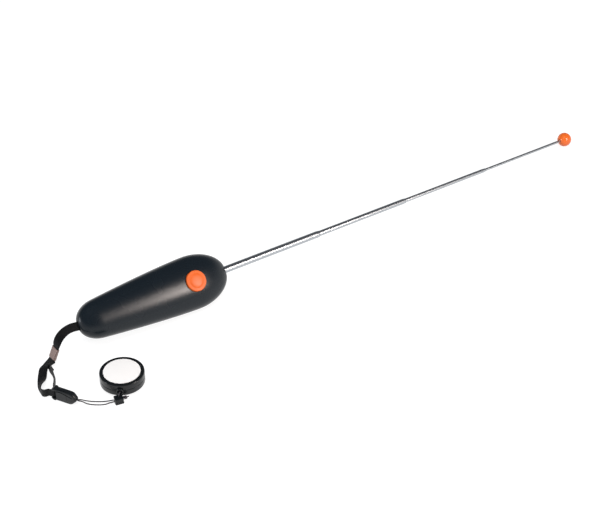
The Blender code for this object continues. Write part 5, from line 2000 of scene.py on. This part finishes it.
    def winding(self, shop: Workshop) -> None:
        """Builds the wound cord on the spool: layers of turns that lie side by side.

        Args:
            shop: The shared node trees.
        """
        thick = self.cord_diameter / 2 * self.winding_fit
        low = self.spool_base + self.spool_flange + GAP
        high = 2 * self.split - low
        first, last = self.hub_radius + GAP + thick, self.winding_radius - thick
        rows = int((high - low) / (2 * thick))
        layers = int((last - first) / (self.layer_pitch * thick)) + 1
        route = []
        for layer in range(layers):
            radius = first + (last - first) * layer / (layers - 1)
            count = rows * self.turn_points
            for step in range(count + (0 if layer < layers - 1 else 1)):
                share = step / count
                height = low + thick + (high - low - 2 * thick) * (share if layer % 2 == 0 else 1 - share)
                angle = 2 * math.pi * (layer * rows + share * rows)
                route.append(Vector((radius * math.cos(angle), radius * math.sin(angle), height)))
        lay = Lay(turns=20.0, step=0.0021, groove=0.05, sides=12)
        made = shop.lay_cord("wound_cord", route, thick, CORD_NYLON, lay)
        dress(made, Body.SPOOL, CORD_NYLON, "reel_cord_winding")

    def cord_end(self, shop: Workshop) -> None:
        """Builds the short cord between the nozzle and the block.

        Args:
            shop: The shared node trees.
        """
        out = self.nozzle_place().to_3x3() @ Vector((0, 0, 1))
        reaches = (self.winding_radius + GAP, self.inside, self.radius + GAP + self.nozzle_reach)
        route = [Vector(((out * reach).x, (out * reach).y, self.split)) for reach in reaches]
        landing = BEAD @ Vector((*self.cord_landing, BEAD_SIZE[2] + GAP))
        sagging = Vector((landing.x, landing.y, self.split - self.cord_sag)).lerp(route[-1], self.cord_lean)
        route += [sagging, landing]
        line = smooth_route(route, CORD_STEPS)
        made = shop.lay_cord("reel_cord_strands", line, self.cord_diameter / 2, CORD_NYLON)
        dress(made, Body.REEL, CORD_NYLON, "reel_cord_end")

    def clip(self) -> None:
        """Builds the belt clip: a folded steel strip with round ends and a rivet hole."""
        plate, top = self.clip_plate, 2 * self.clip_plate + self.clip_slot
        half, close = self.clip_length / 2, self.clip_end_step
        bend, turn = half - top / 2, (top - plate) / 2
        # Out along the plate, round the bend and back to the tongue's end
        line = [(-half + close * step, plate / 2) for step in range(8)]
        line += [(bend * share, plate / 2) for share in (-0.3, 0.2, 0.7)]
        for step in range(self.clip_steps + 1):
            angle = -math.pi / 2 + math.pi * step / self.clip_steps
            line.append((bend + turn * math.cos(angle), top / 2 + turn * math.sin(angle)))
        line += [(bend * share, top - plate / 2) for share in (0.6, 0.2)]
        line += [(-self.clip_tongue + close * step, top - plate / 2) for step in range(5, -1, -1)]
        place = Matrix.Rotation(NOZZLE_TURN + math.pi, 4, "Z") @ Matrix.Rotation(math.pi / 2, 4, "X")
        travelled = [0.0]
        for a, b in zip(line, line[1:]):
            travelled.append(travelled[-1] + math.dist(a, b))
        rings = []
        for index, (x, y) in enumerate(line):
            before, after = neighbours(line, index)
            run = Vector((after[0] - before[0], after[1] - before[1])).normalized()
            up = Vector((-run.y, run.x))
            near_end = min(travelled[index], travelled[-1] - travelled[index])
            shrink = max(0.0, 1 - near_end / self.clip_end[0])
            width = self.clip_width - self.clip_end[1] * (1 - math.sqrt(1 - shrink**2))
            ring = []
            for point in rounded_section(width, plate, plate * 0.35, 2):
                ring.append(place @ Vector((x + up.x * point.y, y + up.y * point.y, point.x)))
            rings.append(ring)
        hole = bar("hole", self.rivet_radius + GAP, top - plate - SWEEP / 2, top + SWEEP, PIN_SIDES)
        made = combine(loft("clip_strip", rings), [hole])
        dress(made, Body.CLIP, SPRING_STEEL, "belt_clip")

    def build(self, shop: Workshop) -> None:
        """Builds the reel and dresses what stays of the CAD.

        Args:
            shop: The shared node trees.
        """
        self.case()
        self.label()
        self.nozzle()
        self.winding(shop)
        self.cord_end(shop)
        self.clip()
        refinish(NYLON, "reel_spool")
        refinish(SPRING_STEEL, "reel_spring")
        refinish(ZINC, "reel_rivet")


# Studio


@dataclass(frozen=True)
class Softbox:
    """A square studio lamp that looks at a point."""

    name: str
    place: Place
    aim: Place
    size: Pair
    power: float
    colour: str = "#ffffff"
    mirrored: bool = True  # whether glossy surfaces show it

    def hang(self) -> None:
        """Adds the lamp to the scene."""
        data = bpy.data.lights.new(self.name, "AREA")
        data.shape = "RECTANGLE"
        data.size, data.size_y = self.size
        data.energy = self.power
        data.color = linear(self.colour)[:3]
        lamp = linked(self.name, data)
        lamp.visible_glossy = self.mirrored
        away = Vector(self.place) - Vector(self.aim)
        lamp.matrix_world = Matrix.Translation(self.place) @ away.to_track_quat("Z", "Y").to_matrix().to_4x4()


@dataclass
class Studio:
    """The camera at the photograph's place, the pale floor and the light."""

    # The camera's place and its axes
    eye: Place = (-0.473659, -0.948529, 0.906571)
    right: Place = (0.811095, -0.584915, 0.0)
    upward: Place = (0.344931, 0.478311, 0.807614)
    ahead: Place = (0.472386, 0.655052, -0.589711)
    focal_pixels: float = 1431.904
    image_width: float = 600.0
    sensor: float = 36.0
    sharp_range: Pair = (0.01, 50.0)
    floor_half: float = 8.0
    floor_colour: str = "#d9dadb"  # as the light on the object meets it
    seen_floor: tuple[str, float] = ("#8f9091", 0.84)  # to the camera and in metal: its colour and its glow
    horizon: str = "#fbfbfb"
    ceiling: str = "#5c6066"
    horizon_band: Pair = (0.12, 0.48)  # heights between which one turns to the other
    lamps: tuple[Softbox, ...] = (
        Softbox("key_softbox", (0.73, -1.02, 0.70), (0.10, 0.05, 0.02), (0.26, 0.34), 13.0, "#fff2ea"),
        Softbox("tail_softbox", (-1.25, 0.50, 0.30), (-0.02, 0.07, 0.03), (0.40, 0.40), 5.0, "#f4f8ff"),
        Softbox(
            "overhead_fill", (-0.35, -0.30, 1.80), (0.15, 0.05, 0.02), (1.60, 1.60), 35.0, mirrored=False
        ),
    )

    def camera(self) -> None:
        """Sets the camera."""
        data = bpy.data.cameras.new("photo_camera")
        data.sensor_fit = "HORIZONTAL"
        data.sensor_width = self.sensor
        data.lens = self.focal_pixels * self.sensor / self.image_width
        data.clip_start, data.clip_end = self.sharp_range
        camera = linked("photo_camera", data)
        axes = Matrix((self.right, self.upward, -Vector(self.ahead))).transposed().to_4x4()
        camera.matrix_world = Matrix.Translation(self.eye) @ axes
        bpy.context.scene.camera = camera

    def floor(self) -> None:
        """Lays the pale floor, which looks white to the camera and to metal and keeps the shadow."""
        mesh = bpy.data.meshes.new("pale_floor")
        reach = self.floor_half
        corners = [(-reach, -reach, 0), (reach, -reach, 0), (reach, reach, 0), (-reach, reach, 0)]
        mesh.from_pydata(corners, [], [(0, 1, 2, 3)])
        floor = linked("pale_floor", mesh)
        made = bpy.data.materials.new("pale_floor")
        made.use_nodes = True
        tree = made.node_tree
        tree.nodes.clear()
        path = add_node(tree, "ShaderNodeLightPath")
        both = {0: path.outputs["Is Camera Ray"], 1: path.outputs["Is Glossy Ray"]}
        mirrored = add_node(tree, MATH, {"operation": "MAXIMUM"}, both)
        both = {0: mirrored.outputs[0], 1: path.outputs["Is Transmission Ray"]}
        seen = add_node(tree, MATH, {"operation": "MAXIMUM"}, both)
        colour, strength = self.seen_floor
        plain = add_node(tree, "ShaderNodeBsdfDiffuse", inputs={"Color": linear(self.floor_colour)})
        dim = add_node(tree, "ShaderNodeBsdfDiffuse", inputs={"Color": linear(colour)})
        glow = add_node(tree, "ShaderNodeEmission", inputs={"Color": linear("#ffffff"), "Strength": strength})
        white = add_node(tree, "ShaderNodeAddShader", inputs={0: dim.outputs[0], 1: glow.outputs[0]})
        surface = add_node(
            tree, "ShaderNodeMixShader", inputs={0: seen.outputs[0], 1: plain.outputs[0], 2: white.outputs[0]}
        )
        add_node(tree, "ShaderNodeOutputMaterial", inputs={"Surface": surface.outputs[0]})
        mesh.materials.append(made)

    def sky(self) -> None:
        """Lights the scene evenly: white near the floor and grey above."""
        world = bpy.data.worlds.new("studio")
        bpy.context.scene.world = world
        world.use_nodes = True
        tree = world.node_tree
        tree.nodes.clear()
        direction = add_node(tree, "ShaderNodeTexCoord").outputs["Generated"]
        split = add_node(tree, "ShaderNodeSeparateXYZ", inputs={0: direction})
        low, high = self.horizon_band
        band = {"Value": split.outputs["Z"], "From Min": low, "From Max": high}
        share = add_node(tree, "ShaderNodeMapRange", {"interpolation_type": "SMOOTHSTEP"}, band)
        mixed = {0: share.outputs[0], MIX_A: linear(self.horizon), MIX_B: linear(self.ceiling)}
        colour = add_node(tree, "ShaderNodeMix", {"data_type": "RGBA"}, mixed)
        light = add_node(tree, "ShaderNodeBackground", inputs={"Color": colour.outputs[2], "Strength": 1.0})
        add_node(tree, "ShaderNodeOutputWorld", inputs={"Surface": light.outputs[0]})

    def build(self) -> None:
        """Builds the studio."""
        self.camera()
        self.floor()
        self.sky()
        for lamp in self.lamps:
            lamp.hang()
        bpy.context.scene.view_settings.view_transform = "Standard"


def main() -> None:
    """Builds the studio, the cords and the rest of the stick."""
    logging.basicConfig(level=logging.INFO, format="%(name)s: %(message)s")
    Studio().build()
    shop = Workshop()
    strap = WristStrap()
    runs, lines = strap.build()
    socket, _ = Buckle().build(shop)
    strap.declare(runs, lines, socket)
    CordLoop().build(shop)
    Handle().build(shop)
    ClickButton().build()
    TelescopeRod().build()
    Reel().build(shop)


if __name__ == "__main__":
    main()
